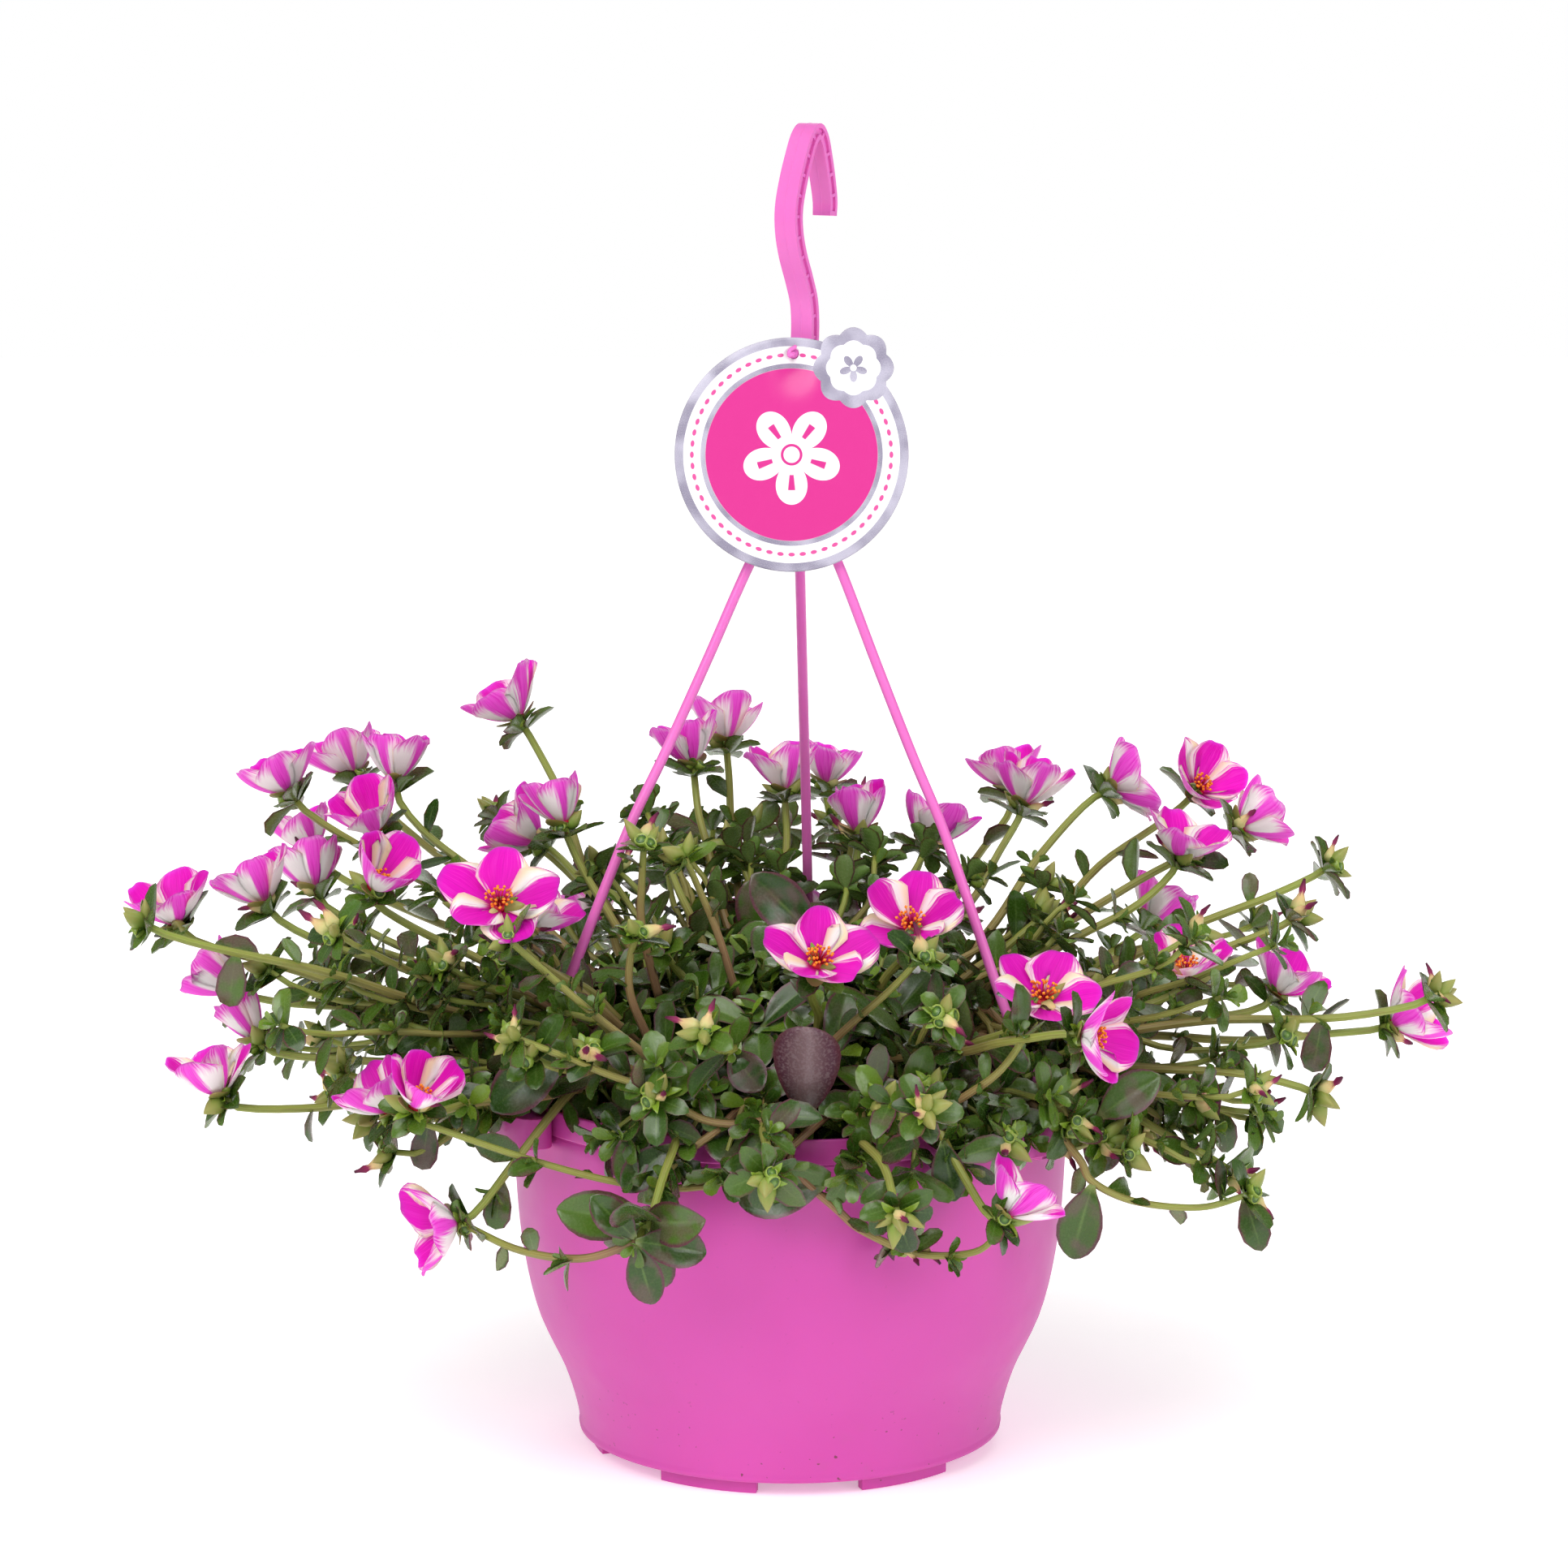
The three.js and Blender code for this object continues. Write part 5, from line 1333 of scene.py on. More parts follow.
def add_whorl(growth, foot, along, row, leaf, count, random, age):
    """Leaves round a stem. The first three lie as the CAD model's do, and the rest between them."""
    frame = standing(along)
    for k in range(count):
        length = leaf * spread(row, 50 + k, 0.85, 1.2)
        around = k / WHORL_LEAVES * 360 + 90 * draw(row, 60)
        lean = spread(row, 70 + k, 58, 80)
        if k >= WHORL_LEAVES:
            around += 60 + random.uniform(-15, 15)
            length *= 0.8
        direction = frame @ leaning(lean, around)
        upper = unit(along + 0.5 * FACING + 0.3 * random.normal(size=3))
        growth.drawn_leaf(random, WHORL_LEAF, foot, direction, upper, length, age - 0.1)


BRACTS = 4
CLUSTER = [add_bud, add_cup, add_withered, add_bud, add_cup, add_bud, add_withered]
CLUSTER_SIZES = {add_bud: 1, add_cup: 0.95, add_withered: 0.9}


def add_cluster(growth, foot, axis, random, flowering):
    """Buds, seed cups and spent flowers round the end of a shoot."""
    frame = standing(axis)
    start = random.uniform(0, 360)
    count = random.integers(2, 4) if flowering else random.integers(4, 7)
    for k in range(count):
        add = CLUSTER[(k + random.integers(0, 2)) % len(CLUSTER)]
        lean = random.uniform(42, 66) if flowering else random.uniform(30, 62)
        direction = frame @ leaning(lean, start + k * 360 / count + random.uniform(-18, 18))
        size = random.uniform(0.8, 1.12) * CLUSTER_SIZES[add]
        add(growth, foot + direction * 1.5, direction, size, random)
    for k in range(BRACTS):
        direction = frame @ leaning(random.uniform(50, 85), start + k * GOLDEN_TURN)
        growth.leaf(foot + direction, direction, axis, random.uniform(7, 11), 3.8, 0.2, 0.3, 0.7, 0.9, 0, 0.9)


def add_tuft(growth, foot, axis, size, count, random, age):
    """A small shoot in a leaf's axil: pairs of leaves that close over its tip."""
    frame = standing(axis, random.uniform(0, 360))
    for k in range(count):
        share = k / max(1, count - 1)
        direction = frame @ leaning(72 - 52 * share, k * GOLDEN_TURN)
        length = size * (1 - 0.55 * share) * random.uniform(0.85, 1.15)
        growth.drawn_leaf(random, TUFT_LEAF, foot + axis * size * 0.22 * share, direction, axis, length,
                          age * (1 - 0.7 * share))


AXIL_TUFTS = 0.42       # the share of single leaves with a tuft in their axil


def dress_stem(growth, line, random, leaf, first, last, pitch):
    """Single leaves between two shares of a stem, each with a tuft in its axil now and then."""
    run = run_along(line)
    tangents = unit(np.gradient(line, axis=0))
    at = run[-1] * first
    turn = random.uniform(0, 360)
    while at < run[-1] * last:
        place = point_at(at, run, line)
        tangent = unit(point_at(at, run, tangents))
        turn += GOLDEN_TURN
        direction = standing(tangent) @ leaning(random.uniform(40, 75), turn)
        direction = unit(direction + (0, 0, random.uniform(-0.1, 0.3)))
        upper = unit(0.4 * tangent + FACING + 0.55 * unit(random.normal(size=3)))
        length = leaf * random.uniform(0.75, 1.35)
        growth.drawn_leaf(random, SINGLE_LEAF, place, direction, upper, length)
        if random.random() < AXIL_TUFTS:
            axis = unit(direction * 0.7 + tangent * 0.5 + (0, -0.1, 0.3))
            add_tuft(growth, place + axis * 2, axis, random.uniform(9, 14), int(random.integers(4, 7)), random,
                     random.uniform(0.15, 0.5))
        at += pitch * random.uniform(0.65, 1.35)


def wander(line, size, random):
    """A stem's line with small bends of its own, and its ends left where they are."""
    t = np.linspace(0, 1, len(line))[:, None]
    tangent = unit(line[-1] - line[0])
    side = unit(np.cross(tangent, (0, 0, 1)))
    lift = np.cross(side, tangent)
    bends = sum(
        way * np.sin(2 * math.pi * (turns * t + random.random())) / turns
        for way in (side, lift) for turns in (1, 2.3))
    return line + size * np.sin(math.pi * t) * bends


# Leaves that hang below a long shoot: its row, the share of its length, and the leaf's length
HUNG_LEAVES = [(109, 0.6, 31), (101, 0.8, 24), (12, 0.85, 22), (108, 0.7, 24), (107, 0.75, 24), (14, 0.8, 22)]
HANGING = unit(np.array([-0.15, 0, -1]))


def grow_long_shoots(growths, shoots, random):
    for shoot in shoots:
        growth = growths[shoot.plant]
        line = wander(spaced(shoot.control, 22), 2.0, random)
        add_stem(growth, line, LONG_STEM, random)
        along = end_way(line)
        foot = shoot.end - along * WHORL_BACK
        dress_stem(growth, line, random, min(20, shoot.leaf * 1.15), 0.3, 0.86, 24)
        for row, share, length in HUNG_LEAVES:
            if row == shoot.row:
                growth.leaf(line[int(share * len(line))], HANGING, leaning(75, 265), length, length * 0.56,
                            0.1, 0.1, 0.8, random.random(), 0.95)
        age = 0.55 if shoot.leaf < 20 else 0.85
        add_whorl(growth, foot, along, shoot.row, shoot.leaf * 1.12, 6, random, age)
        if shoot.leaf > TIP_LEAF_LENGTH:
            add_tuft(growth, shoot.end - along * 3, along, 9, 4, random, 0.2)
            continue
        if shoot.bloom is None:
            add_bud(growth, shoot.end - shoot.axis, shoot.axis, 1.0, random)
        add_cluster(growth, shoot.end - along * 1.5, along, random, shoot.bloom is not None)


# ---- blooms

PETAL = Blade(10, 10, rounded=False)
PETAL_SHEET = 0.35
CUP_OPENINGS = (45, 62)     # a half-closed bloom's opening and a wide open one's,
CUP_BENDS = (22, 8)         # and how much their petals' feet lean out more than the whole petal
SEPAL = Blade(6, 4)
SEPAL_LENGTH, SEPAL_WIDTH, SEPAL_THICKNESS = 9.5, 4.2, 0.7
SEPAL_CUP = [(1.5, -1.3), (2.3, -0.4), (2.9, 0.7), (2.4, 1.3)]
STAMEN_DISC = [(3.4, 1.0), (3.0, 2.0), (1.7, 2.7), (0.1, 2.9)]
STAMENS = 28
FILAMENT_RADIUS = 0.2
ANTHER_PROFILE = [(0.15, -0.8), (0.76, 0), (0.15, 0.8)]


def petal_curve(along, opening, cup):
    """Distance from the bloom's axis and height above its base, at a distance along a petal, which
    leans out at its foot and stands up at its end."""
    foot = opening + cup
    angle = foot - 2 * cup * along / PETAL_LENGTH
    radius = PETAL_LENGTH / (2 * cup)
    out = (np.cos(angle) - np.cos(foot)) * radius + 2 * along / (along + 5)
    return out, (np.sin(foot) - np.sin(angle)) * radius


def petal_width(t):
    """Half the width of a petal in millimetres, from its foot to its broad, round end."""
    narrowing = 1 - 0.42 * np.maximum(0, (t - 0.68) / 0.32) ** 2
    return 14.8 * np.minimum(1, t * 1.4 + 0.11) ** 0.95 * narrowing


def around_axis(out, around, height):
    return np.stack([out * np.cos(around), out * np.sin(around), height], -1)


def make_petal(row, number, opening, length):
    """A petal with a notched, rippled end. One side lies under its neighbour, and the other over it."""
    t, a, side = PETAL.along, PETAL.across, PETAL.side

    def pick(column, low, high):
        return spread(row, column + number, low, high)

    middle = (number + 0.5) / PETALS * 2 * math.pi + pick(120, -0.1, 0.1)
    notch = 0.08 * pick(60, 0.1, 1.1) * np.exp(-(((a - pick(130, -0.2, 0.2)) / 0.35) ** 2))
    scallop = 0.008 * np.sin(5 * a + pick(140, 0, 6.28))
    outline = 1.04 - notch - 0.14 * a**2 + scallop + pick(150, -0.05, 0.05) * a
    along = length * pick(160, 0.93, 1.07) * outline * t
    turn = math.radians(opening + pick(10, -8, 8) + pick(170, -5, 3))
    cup = math.radians(np.interp(opening, CUP_OPENINGS, CUP_BENDS))
    out, height = petal_curve(along, turn, cup)
    half = np.minimum(math.radians(54), petal_width(t) * pick(180, 0.92, 1.08) / np.maximum(out, 0.5))
    around = middle + a * half
    lift = np.interp(a, [-1, 0, 1], [pick(20, -1.2, 1.5), pick(40, -1.0, 1.0), pick(50, -1.2, 1.5)]) * t**2
    phase = 6.28 * draw(row, 80 + number)
    lift += (0.7 * np.sin(3.1 * a + phase) + 0.15 * np.sin(6 * a + 2 * phase)) * t**3
    lift += 1.1 * a * t + side * PETAL_SHEET / 2 * np.minimum(1, 3 * t)
    lift += 1.3 * np.abs(a) ** 2 * np.sin(math.pi * t)
    curl = pick(90, -1.5, 2.2) * t**4
    lean = turn + cup * (1 - 2 * t)
    return around_axis(out + (curl - lift) * np.cos(lean), around, height + (lift - curl) * np.sin(lean))


def make_sepal(turn, opening):
    t, a = SEPAL.along, SEPAL.across
    out, height = petal_curve(SEPAL_LENGTH * t, math.radians(opening + 7), math.radians(CUP_BENDS[0]))
    width = SEPAL_WIDTH * np.sin(math.pi * (0.12 + 0.86 * t)) ** 0.7
    around = turn + 0.4 + a * np.minimum(1.2, width / np.maximum(out, 1.5))
    return around_axis(out + 1.0 - SEPAL.side * SEPAL_THICKNESS / 2, around, height - 0.8)


def make_bloom(shoot, random):
    base, opening = shoot.bloom
    row = shoot.row
    name = f"bloom_{row:02d}"
    place = stood(base, shoot.axis, turn=360 / PETALS * draw(row, 2))
    flower = Piece(f"{name}_flower", "petal", [name], "petal", "filament", "anther", "sepal")
    length = PETAL_LENGTH * spread(row, 1, 0.94, 1.06)
    for number in range(PETALS):
        kind = (draw(row, 100 + number), 0, spread(row, 110 + number, -0.18, 0.18))
        petal = make_petal(row, number, opening, length)
        flower.add(place(petal), PETAL.faces, PETAL.places, kind, "petal", PETAL.rim)
    flower.put(lathe(SEPAL_CUP, 14), place, (0.2, 0, 0), "sepal")
    flower.put(lathe(STAMEN_DISC, 12), place, material="filament")
    for turn in (0, math.pi):
        sepal = make_sepal(turn, opening)
        flower.add(place(sepal), SEPAL.faces, SEPAL.places, (0.4, 0, 0), "sepal", SEPAL.rim)
    add_stamens(flower, place, opening, random)
    flower.make()


def add_stamens(flower, place, opening, random):
    """Filaments round the middle that lean out more in an open bloom, each with an anther."""
    for k in range(STAMENS):
        lean = 8 + 46 * math.sqrt((k + 0.5) / STAMENS) * min(1.0, opening / 60)
        direction = leaning(lean, k * GOLDEN_TURN + random.uniform(-14, 14))
        length = random.uniform(5.2, 7.6)
        start = direction * 0.8 + (0, 0, 1.4)
        bend = np.array([0, 0, 1.0]) * length * 0.1
        end = start + direction * length + bend * 1.4
        line = [start, start + direction * length * 0.5 + bend, end]
        flower.put(swept(circle(FILAMENT_RADIUS, 3), line), place, (0.1, 0, 0), "filament")
        anther, faces, places = lathe(ANTHER_PROFILE, 5)
        anther = stood(end, unit(random.normal(size=3)))(anther)
        flower.add(place(anther), faces, places, (random.random() * 0.3, 0, 0), "anther")


# ---- cushion


def mound_height(radius):
    top = MOUND_PROFILE[::-1]
    return float(np.interp(radius, [r for r, _ in top], [z for _, z in top]))


SPRIG_POINTS = 5
TIP_SHARE = 0.7         # how long the leaves at a sprig's end are for the others


def add_sprig(growth, root, direction, length, leaf, count, random, age):
    """A short leafy side shoot with its leaves in a spiral and a rosette at its end."""
    t = np.linspace(0, 1, SPRIG_POINTS)[:, None]
    bend = unit(direction + (0, 0, 0.35))
    line = root + direction * length * t + (bend - direction) * length * t * t
    add_stem(growth, line, SPRIG_STEM, random)
    for k in range(count):
        share = (k + 0.5) / count
        at = min(1.0, 0.22 + 0.78 * share) * (SPRIG_POINTS - 1)
        place = point_at(at, np.arange(SPRIG_POINTS), line)
        i = min(SPRIG_POINTS - 2, int(at))
        axis = unit(line[i + 1] - line[i])
        turn = k * GOLDEN_TURN + random.uniform(-12, 12)
        outward = standing(axis) @ leaning(78 - 44 * share**2, turn)
        size = leaf * (0.75 + 0.45 * math.sin(math.pi * share)) * random.uniform(0.85, 1.15)
        if share > 0.8:
            size *= TIP_SHARE
        growth.drawn_leaf(random, SPRIG_LEAF, place, outward, axis, size, age * (1.15 - share), (0.02, 0.9))


CLEAR_PLACE, CLEAR_SIZE = np.array([7.0, -126.0, 190.0]), 27     # in front of the upright purple leaf
# Dark hollows of the cushion: azimuth, radius, size
HOLLOWS = [
    (321, 110, 15), (331, 112, 13), (273, 112, 21), (262, 96, 10), (222, 84, 10), (312, 86, 11),
    (290, 70, 8), (250, 62, 8),
]
HOLLOW_DEPTH = 34
CUSHION_SPRIGS, CUSHION_RADIUS = 330, 114


def in_clearing(place):
    return np.linalg.norm(place - CLEAR_PLACE) < CLEAR_SIZE


def in_hollow(place):
    return any(
        np.linalg.norm(place[:2] - polar(azimuth, radius, 0)[:2]) < size for azimuth, radius, size in HOLLOWS)


def grow_cushion(growths, random):
    for plant, growth in enumerate(growths):
        for r, (offset, radius) in enumerate(ROSETTES):
            row = ROSETTE_ROW + plant * 10 + r
            azimuth = (plant + 0.5) * 360 / PLANTS + offset
            axis = leaning(radius * 0.55, azimuth)
            foot = polar(azimuth, radius, mound_height(radius)) - axis * 3
            for k in range(ROSETTE_LEAVES):
                length, lean = spread(row, k, 24, 32), spread(row, 10 + k, 48, 72)
                around = k / ROSETTE_LEAVES * 360 + 120 * draw(row, 5)
                direction = standing(axis) @ leaning(lean, around)
                growth.leaf(foot + direction * 1.8, direction, axis, length, length * 0.46, 0.5, 0.18, 0.95,
                            random.random(), random.uniform(0.4, 0.8))
    for i in range(CUSHION_SPRIGS):
        radius = CUSHION_RADIUS * math.sqrt((i + 0.5) / CUSHION_SPRIGS)
        azimuth = i * GOLDEN_TURN
        lean = radius * random.uniform(0.25, 0.65) + random.uniform(-8, 8)
        top = polar(azimuth, radius, mound_height(radius) + random.uniform(-22, 12))
        if in_hollow(top):
            top[2] -= HOLLOW_DEPTH
        direction = leaning(lean, azimuth + random.uniform(-40, 40))
        length = random.uniform(26, 40)
        add_sprig(growths[plant_at(top)], top - direction * length, direction, length, random.uniform(13, 21),
                  int(random.integers(6, 10)), random, random.uniform(0.3, 0.8))


BARE_RIM = ((207, 236), (315, 341))     # azimuths where the pot's rim shows
# Sprigs that hang down over the rim: azimuth, radius and height of the end
CURTAIN = [
    (193, 147, 158), (199, 148, 152), (204, 146, 157), (246, 132, 150), (258, 133, 152), (268, 131, 155),
    (281, 132, 152), (292, 133, 150), (303, 132, 150), (310, 131, 157),
]
FRONT = (236, 315)      # azimuths where the rim's sprigs are shorter
RIM_SPRIGS = 72         # the number of sprigs round the rim


def add_hanging(growth, azimuth, tip, leaf, random):
    """A sprig that grows out of the cushion, over the rim and down to its tip."""
    corners = [polar(azimuth, 94, 164), polar(azimuth, 113, 172 + random.uniform(0, 5))]
    if tip[2] < RIM_HEIGHT:
        corners.append(polar((azimuth + azimuth_of(tip) % 360) / 2, 125, 167))
    line = smooth_line([*corners, tip], 11)
    add_stem(growth, line, HANGING_STEM, random)
    dress_stem(growth, line, random, leaf, 0.35, 0.95, 8)
    add_tuft(growth, line[-1], unit(end_way(line) + (0, -0.3, 0.5)), leaf * 1.1, 7, random, 0.45)


def grow_over_rim(growths, random):
    """Sprigs that lean out over the rim all round, and the longer ones at the front."""
    for i in range(RIM_SPRIGS):
        azimuth = i * 360 / RIM_SPRIGS + random.uniform(-2, 2)
        if any(low < azimuth < high for low, high in BARE_RIM) or in_clearing(polar(azimuth, 120, 175)):
            continue
        low, far = (154, 136) if FRONT[0] < azimuth < FRONT[1] else (146, 150)
        tip = polar(azimuth + random.uniform(-7, 7), random.uniform(126, far), random.uniform(low, 170))
        add_hanging(growths[plant_at(tip)], azimuth, tip, random.uniform(13, 18), random)
    for azimuth, radius, height in CURTAIN:
        tip = polar(azimuth, radius, height)
        azimuth += random.uniform(-5, 5)
        add_hanging(growths[plant_at(tip)], azimuth, tip, random.uniform(15, 20), random)


# Stems that lie over the cushion and the pot's front: places along each, then the length of its
# leaves, and whether it ends in buds
FRONT_STEMS = [
    ([(20, -104, 172), (6, -122, 164), (-10, -127, 152), (-37, -126, 143), (-67, -121, 143), (-105, -122, 153),
      (-150, -127, 170)], 14, False),
    ([(12, -100, 170), (0, -120, 174), (-15, -127, 170), (-35, -126, 171), (-55, -124, 182), (-76, -123, 190),
      (-101, -126, 201), (-112, -129, 206)], 15, True),
    ([(-45, -98, 178), (-58, -108, 193), (-79, -108, 210), (-99, -109, 228), (-115, -111, 243)], 15, True),
    ([(8, -92, 186), (24, -99, 204), (40, -102, 219), (54, -103, 234)], 14, True),
    ([(-22, -48, 205), (-30, -50, 232), (-38, -51, 252), (-44, -52, 266)], 13, True),
    ([(-55, -50, 205), (-62, -54, 236), (-62, -55, 256), (-61, -55, 272)], 13, True),
    ([(-58, -78, 192), (-66, -84, 214), (-66, -85, 230), (-63, -86, 240)], 13, True),
    ([(60, -100, 168), (73, -114, 179), (87, -117, 191), (102, -111, 212)], 15, False),
    ([(0, -112, 168), (1, -127, 152), (19, -128, 134), (30, -129, 125), (52, -134, 117), (75, -142, 120),
      (85, -147, 131)], 16, False),
    ([(25, -112, 168), (28, -127, 151), (39, -129, 134), (48, -129, 120)], 15, True),
    ([(86, -70, 170), (100, -84, 168), (119, -95, 148), (125, -97, 138), (143, -95, 129), (170, -93, 126),
      (190, -95, 132)], 14, True),
    ([(-62, -166, 130), (-84, -160, 122), (-110, -143, 121), (-135, -119, 126)], 13, False),
    ([(-20, -108, 172), (-30, -124, 166), (-48, -127, 152), (-56, -148, 138), (-62, -166, 130)], 16, False),
]


def grow_front_stems(growths, random):
    for corners, leaf, in_bud in FRONT_STEMS:
        line = smooth_line(corners, 6 * len(corners))
        growth = growths[plant_at(line[0])]
        add_stem(growth, line, FRONT_STEM, random)
        dress_stem(growth, line, random, leaf, 0.3, 0.92 if in_bud else 0.82, 16)
        along = end_way(line)
        if in_bud:
            add_whorl(growth, line[-1] - along * 3, along, FRONT_ROW + leaf, 16, 5, random, 0.5)
            add_cluster(growth, line[-1] - along, along, random, False)
        else:
            add_tuft(growth, line[-1], along, 11, 5, random, 0.35)


# Broad leaves that show their faces: the foot, where the leaf points, its length and its age
SHOWN_LEAVES = [
    ((14, -128, 144), (-36, -6, -5), 36, 0.75), ((-48, -124, 160), (-20, -5, -16), 28, 0.7),
    ((62, -124, 162), (5, -6, -26), 26, 0.6), ((-62, -167, 131), (30, 2, -5), 30, 0.85),
    ((-62, -167, 130), (8, -2, -30), 27, 0.9), ((-62, -166, 132), (-16, -8, 18), 26, 0.8),
    ((128, -84, 162), (14, -5, 12), 32, 0.95), ((-92, -92, 192), (-24, -8, -16), 40, 0.7),
    ((-60, -118, 168), (-8, -10, -22), 28, 0.8), ((125, -98, 137), (-9, -2, -31), 34, 0.9),
    ((10, -34, 229), (-22, -8, 24), 38, 1.0), ((188, -95, 131), (6, -6, -18), 24, 0.8),
]
# The CAD model's first large leaf stands upright with its purple lower side to the front: its foot,
# the way it points, and its length
PURPLE_LEAF = (np.array([6.0, -114, 169]), unit(np.array([1.0, -9, 40])), 45)
FACING_LEAN = 60        # large leaves that stand more upright than this turn a face outwards


def grow_large_leaves(growths, random):
    def add_large(foot, *rest):
        growths[plant_at(foot)].leaf(foot, *rest)

    for azimuth, radius, lean, lean_to, length in LARGE_LEAVES:
        foot = polar(azimuth, radius - 3, mound_height(radius) - 4)
        steep = lean < FACING_LEAN
        upper = leaning(80, 262) if steep else leaning(lean - 90, lean_to)
        add_large(foot, leaning(lean, lean_to), upper, length, length * 0.62, 0.2 if steep else 0.8, 0.08, 0.72,
                  random.random(), random.uniform(0.75, 1.0))
    foot, way, length = PURPLE_LEAF
    add_large(foot, way, leaning(95, 85), length, length * 0.62, 0.3, 0.1, 0.85, 0.6, PURPLE_AGE, 0.55)
    for foot, way, length, age in SHOWN_LEAVES:
        add_large(np.array(foot, float), unit(np.array(way, float)), leaning(68, 262), length, length * 0.56,
                  0.35, 0.14, 0.95, 0.5 * random.random(), age, 0.75)


# ---- further shoots

# Kinds of side shoot: middle azimuth, half the width, number, least and greatest reach, then height
SIDE_SHOOTS = [
    (184, 30, 34, 115, 235, 150, 245), (353, 29, 32, 115, 230, 145, 240), (90, 62, 32, 95, 180, 175, 250),
    (191, 25, 18, 130, 205, 145, 190), (344, 22, 14, 130, 205, 140, 185), (92, 34, 13, 60, 150, 232, 262),
    (270, 50, 10, 110, 160, 175, 215), (243, 1, 1, 117, 119, 187, 188), (299, 1, 1, 119, 121, 178, 179),
    (215, 1, 1, 140, 142, 198, 199), (308, 1, 1, 144, 146, 160, 161),
]


def grow_side_shoots(growths, laid, arms, middles, random):
    """Thinner shoots between the long ones, which end in buds or in leaves."""
    row = SIDE_ROW
    for middle, half, count, near, far, low, high in SIDE_SHOOTS:
        for i in range(count):
            row += 1
            azimuth = middle + half * (2 * (i + 0.5) / count - 1) + random.uniform(-3, 3)
            share = random.random()
            reach, height = near + (far - near) * share, random.uniform(low, high)
            axis = leaning(random.uniform(35, 80), azimuth + random.uniform(-40, 40))
            shoot = Shoot(row, azimuth, axis, polar(azimuth, reach, height), 15)
            if lay(shoot, laid, middles, arms) < 0 or in_clearing(shoot.end):
                continue
            laid.append(shoot)
            growth = growths[shoot.plant]
            line = wander(spaced(shoot.control, 14), 4.5, random)
            add_stem(growth, line, SIDE_STEM, random)
            along = end_way(line)
            dress_stem(growth, line, random, random.uniform(14, 20), 0.35, 0.92, 18)
            add_whorl(growth, line[-1] - along * 3, along, row, 16, 5, random, 0.45)
            if random.random() < 0.55:
                add_cluster(growth, line[-1] - along, along, random, False)
            else:
                add_tuft(growth, line[-1], along, 13, 6, random, 0.3)


# ---- camera, floor and light


CAMERA_PLACE = (-0.0026, -2.057, 0.632)
CAMERA_TILT = 9.48              # degrees below level
SENSOR_WIDTH = 36
PHOTO_WIDTH, FOCAL_LENGTH = 1932, 6000      # pixels of the photo
FLOOR_GLOW = 0.34
AMBIENT, AMBIENT_COLOUR = 0.4, (1, 0.99, 0.96, 1)
SUN_STRENGTH, SUN_SPREAD, SUN_COLOUR = 1.68, 50, (1, 0.985, 0.95)
SUN_WAY = (0.22, 0.5, -0.84)
LAMP_TARGET = np.array([0, 0, 0.25])
# Softboxes: name, place, size and power
LAMPS = [
    ("key", (-1.3, -1.7, 1.5), 1.2, 14.5), ("fill", (1.6, -1.5, 1.1), 1.2, 16.5),
    ("back", (0.6, 1.9, 1.5), 1.4, 12),
]


def make_stage():
    scene = bpy.context.scene
    scene.view_settings.view_transform = "Standard"
    camera = bpy.data.cameras.new("camera")
    camera.sensor_width = SENSOR_WIDTH
    camera.lens = SENSOR_WIDTH * FOCAL_LENGTH / PHOTO_WIDTH
    viewer = bpy.data.objects.new("camera", camera)
    viewer.location = CAMERA_PLACE
    viewer.rotation_euler = (math.radians(90 - CAMERA_TILT), 0, 0)
    scene.collection.objects.link(viewer)
    scene.camera = viewer
    make_floor()
    make_world(scene)
    sun = bpy.data.lights.new("sky", "SUN")
    sun.energy = SUN_STRENGTH
    sun.color = SUN_COLOUR
    sun.angle = math.radians(SUN_SPREAD)
    hang_light("sky", sun, (0, 0, 0), SUN_WAY)
    for name, place, size, power in LAMPS:
        lamp = bpy.data.lights.new(name, "AREA")
        lamp.size = size
        lamp.energy = power
        hang_light(name, lamp, place, LAMP_TARGET - place)


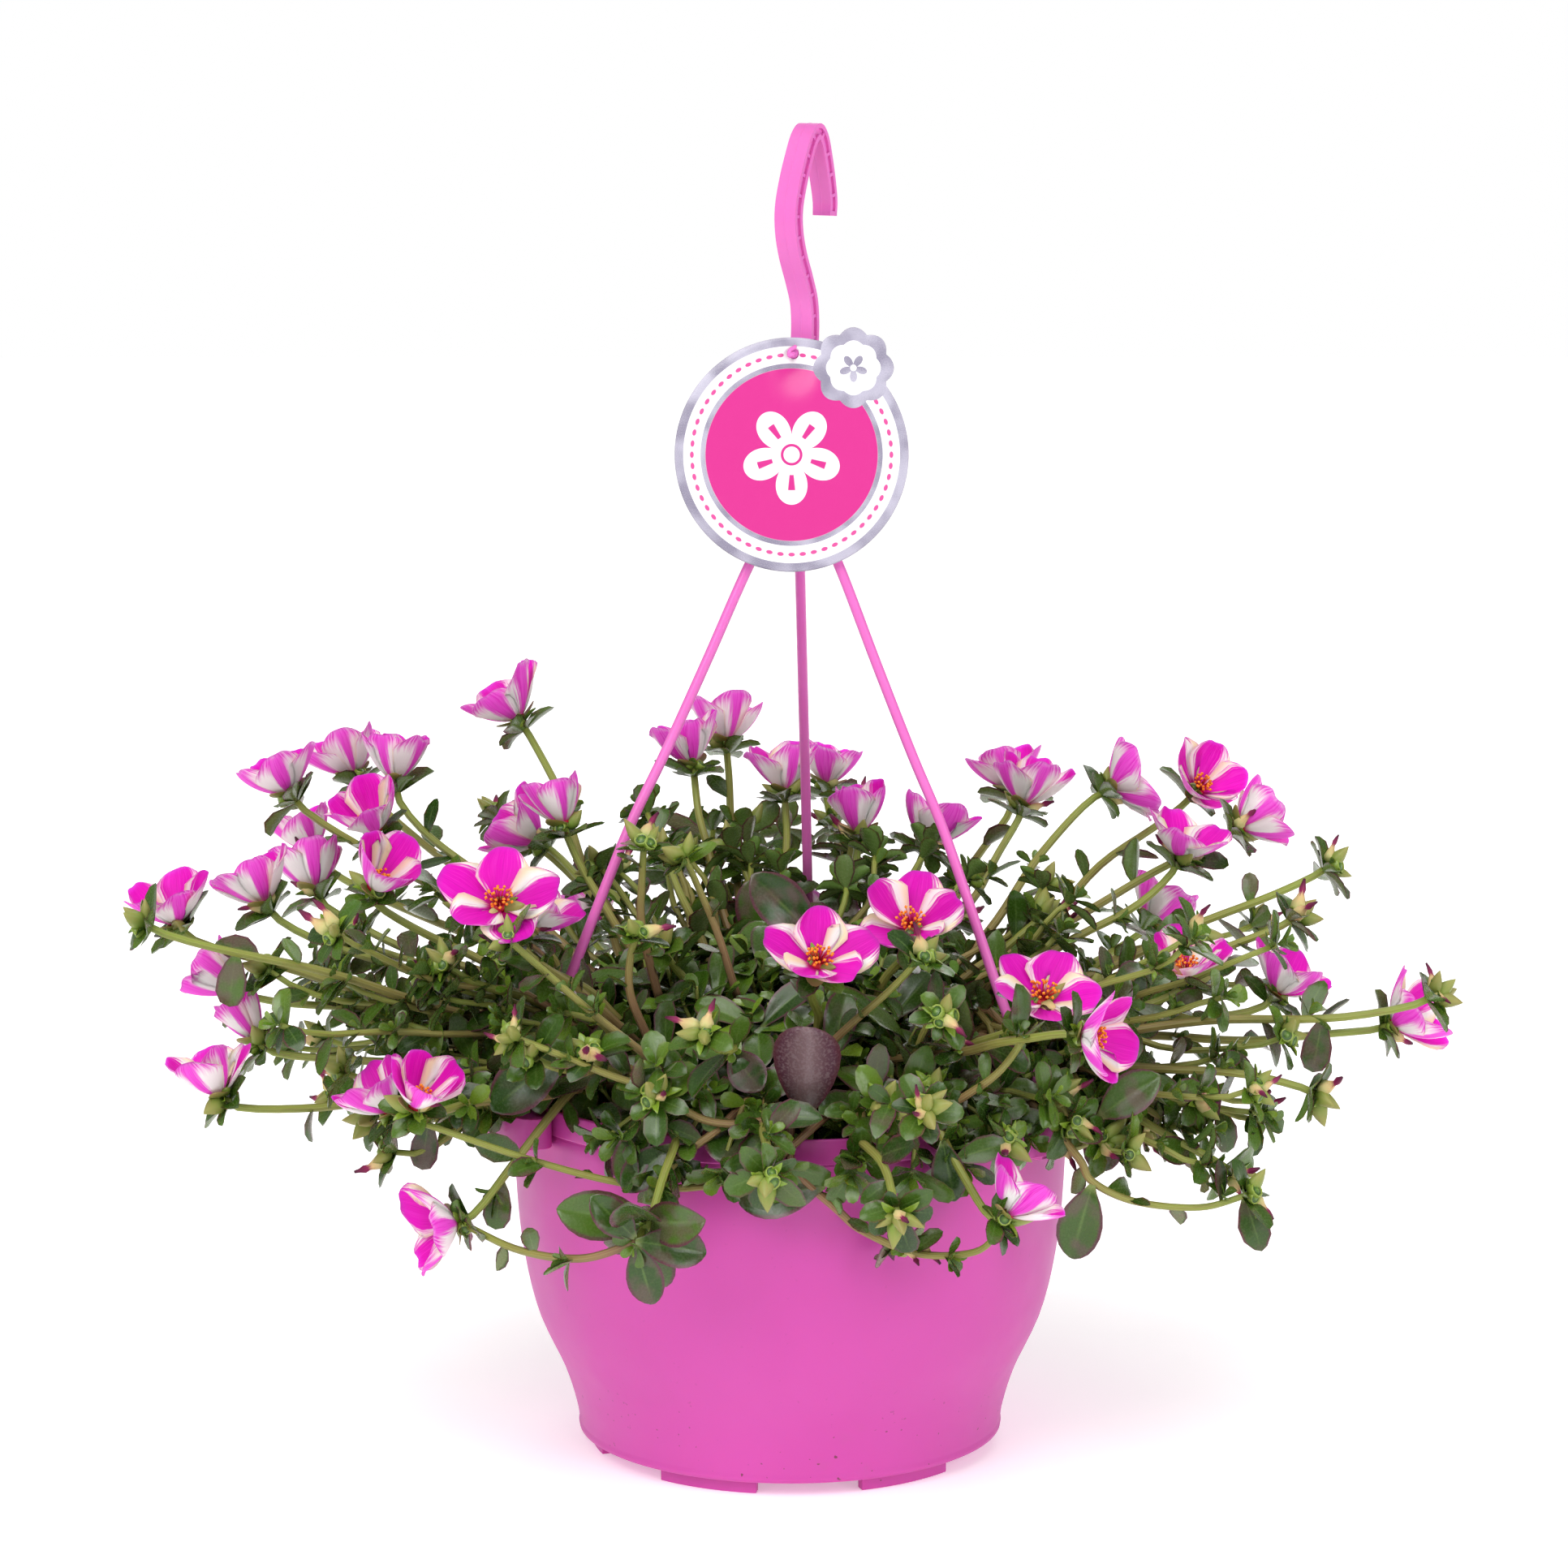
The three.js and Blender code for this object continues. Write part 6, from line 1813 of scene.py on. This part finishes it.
def make_floor():
    bpy.ops.mesh.primitive_plane_add(size=12, location=(0, 0, 0))
    floor = bpy.context.object
    floor.name = "floor"
    s = Shade("floor", Specular_IOR_Level=0.2, Emission_Color=(1, 1, 1, 1), Emission_Strength=FLOOR_GLOW)
    tone = s.mix(s.grain(3), srgb(250, 250, 251), srgb(246, 246, 248))
    floor.data.materials.append(s.done(tone, s.grain(40), 0.7, 0.8))


def make_world(scene):
    """A white backdrop for the camera, and a softer, warmer one that lights the object."""
    world = bpy.data.worlds.new("studio")
    world.use_nodes = True
    tree = world.node_tree
    seen, lit = tree.nodes["Background"], tree.nodes.new("ShaderNodeBackground")
    seen.inputs[0].default_value = (1, 1, 1, 1)
    lit.inputs[0].default_value = AMBIENT_COLOUR
    lit.inputs[1].default_value = AMBIENT
    choice, rays = tree.nodes.new("ShaderNodeMixShader"), tree.nodes.new("ShaderNodeLightPath")
    tree.links.new(rays.outputs["Is Camera Ray"], choice.inputs[0])
    tree.links.new(lit.outputs[0], choice.inputs[1])
    tree.links.new(seen.outputs[0], choice.inputs[2])
    tree.links.new(choice.outputs[0], tree.nodes["World Output"].inputs[0])
    scene.world = world


def hang_light(name, lamp, place, way):
    """Puts a light in the scene that shines along a direction."""
    light = bpy.data.objects.new(name, lamp)
    light.location = place
    light.rotation_euler = Vector(way).to_track_quat("-Z", "Y").to_euler()
    bpy.context.scene.collection.objects.link(light)


# ---- everything together


def main():
    random = np.random.default_rng(20)
    make_stage()
    make_pot()
    make_soil()
    frame["nodes"]["soil"].data.materials.clear()
    frame["nodes"]["soil"].data.materials.append(materials["peat"])
    make_hanger()
    make_tag()
    shoots = list_shoots()
    arms = arm_points()
    middles = [(shoot, shoot.middle) for shoot in shoots if shoot.bloom is not None]
    laid = []
    for shoot in shoots:
        lay(shoot, laid, middles, arms)
        laid.append(shoot)
    growths = [Growth(number) for number in range(1, PLANTS + 1)]
    grow_long_shoots(growths, shoots, random)
    grow_cushion(growths, random)
    grow_over_rim(growths, random)
    grow_front_stems(growths, random)
    grow_large_leaves(growths, random)
    grow_side_shoots(growths, laid, arms, middles, random)
    for shoot in shoots:
        if shoot.bloom is not None:
            make_bloom(shoot, random)
    for growth in growths:
        growth.make()


main()
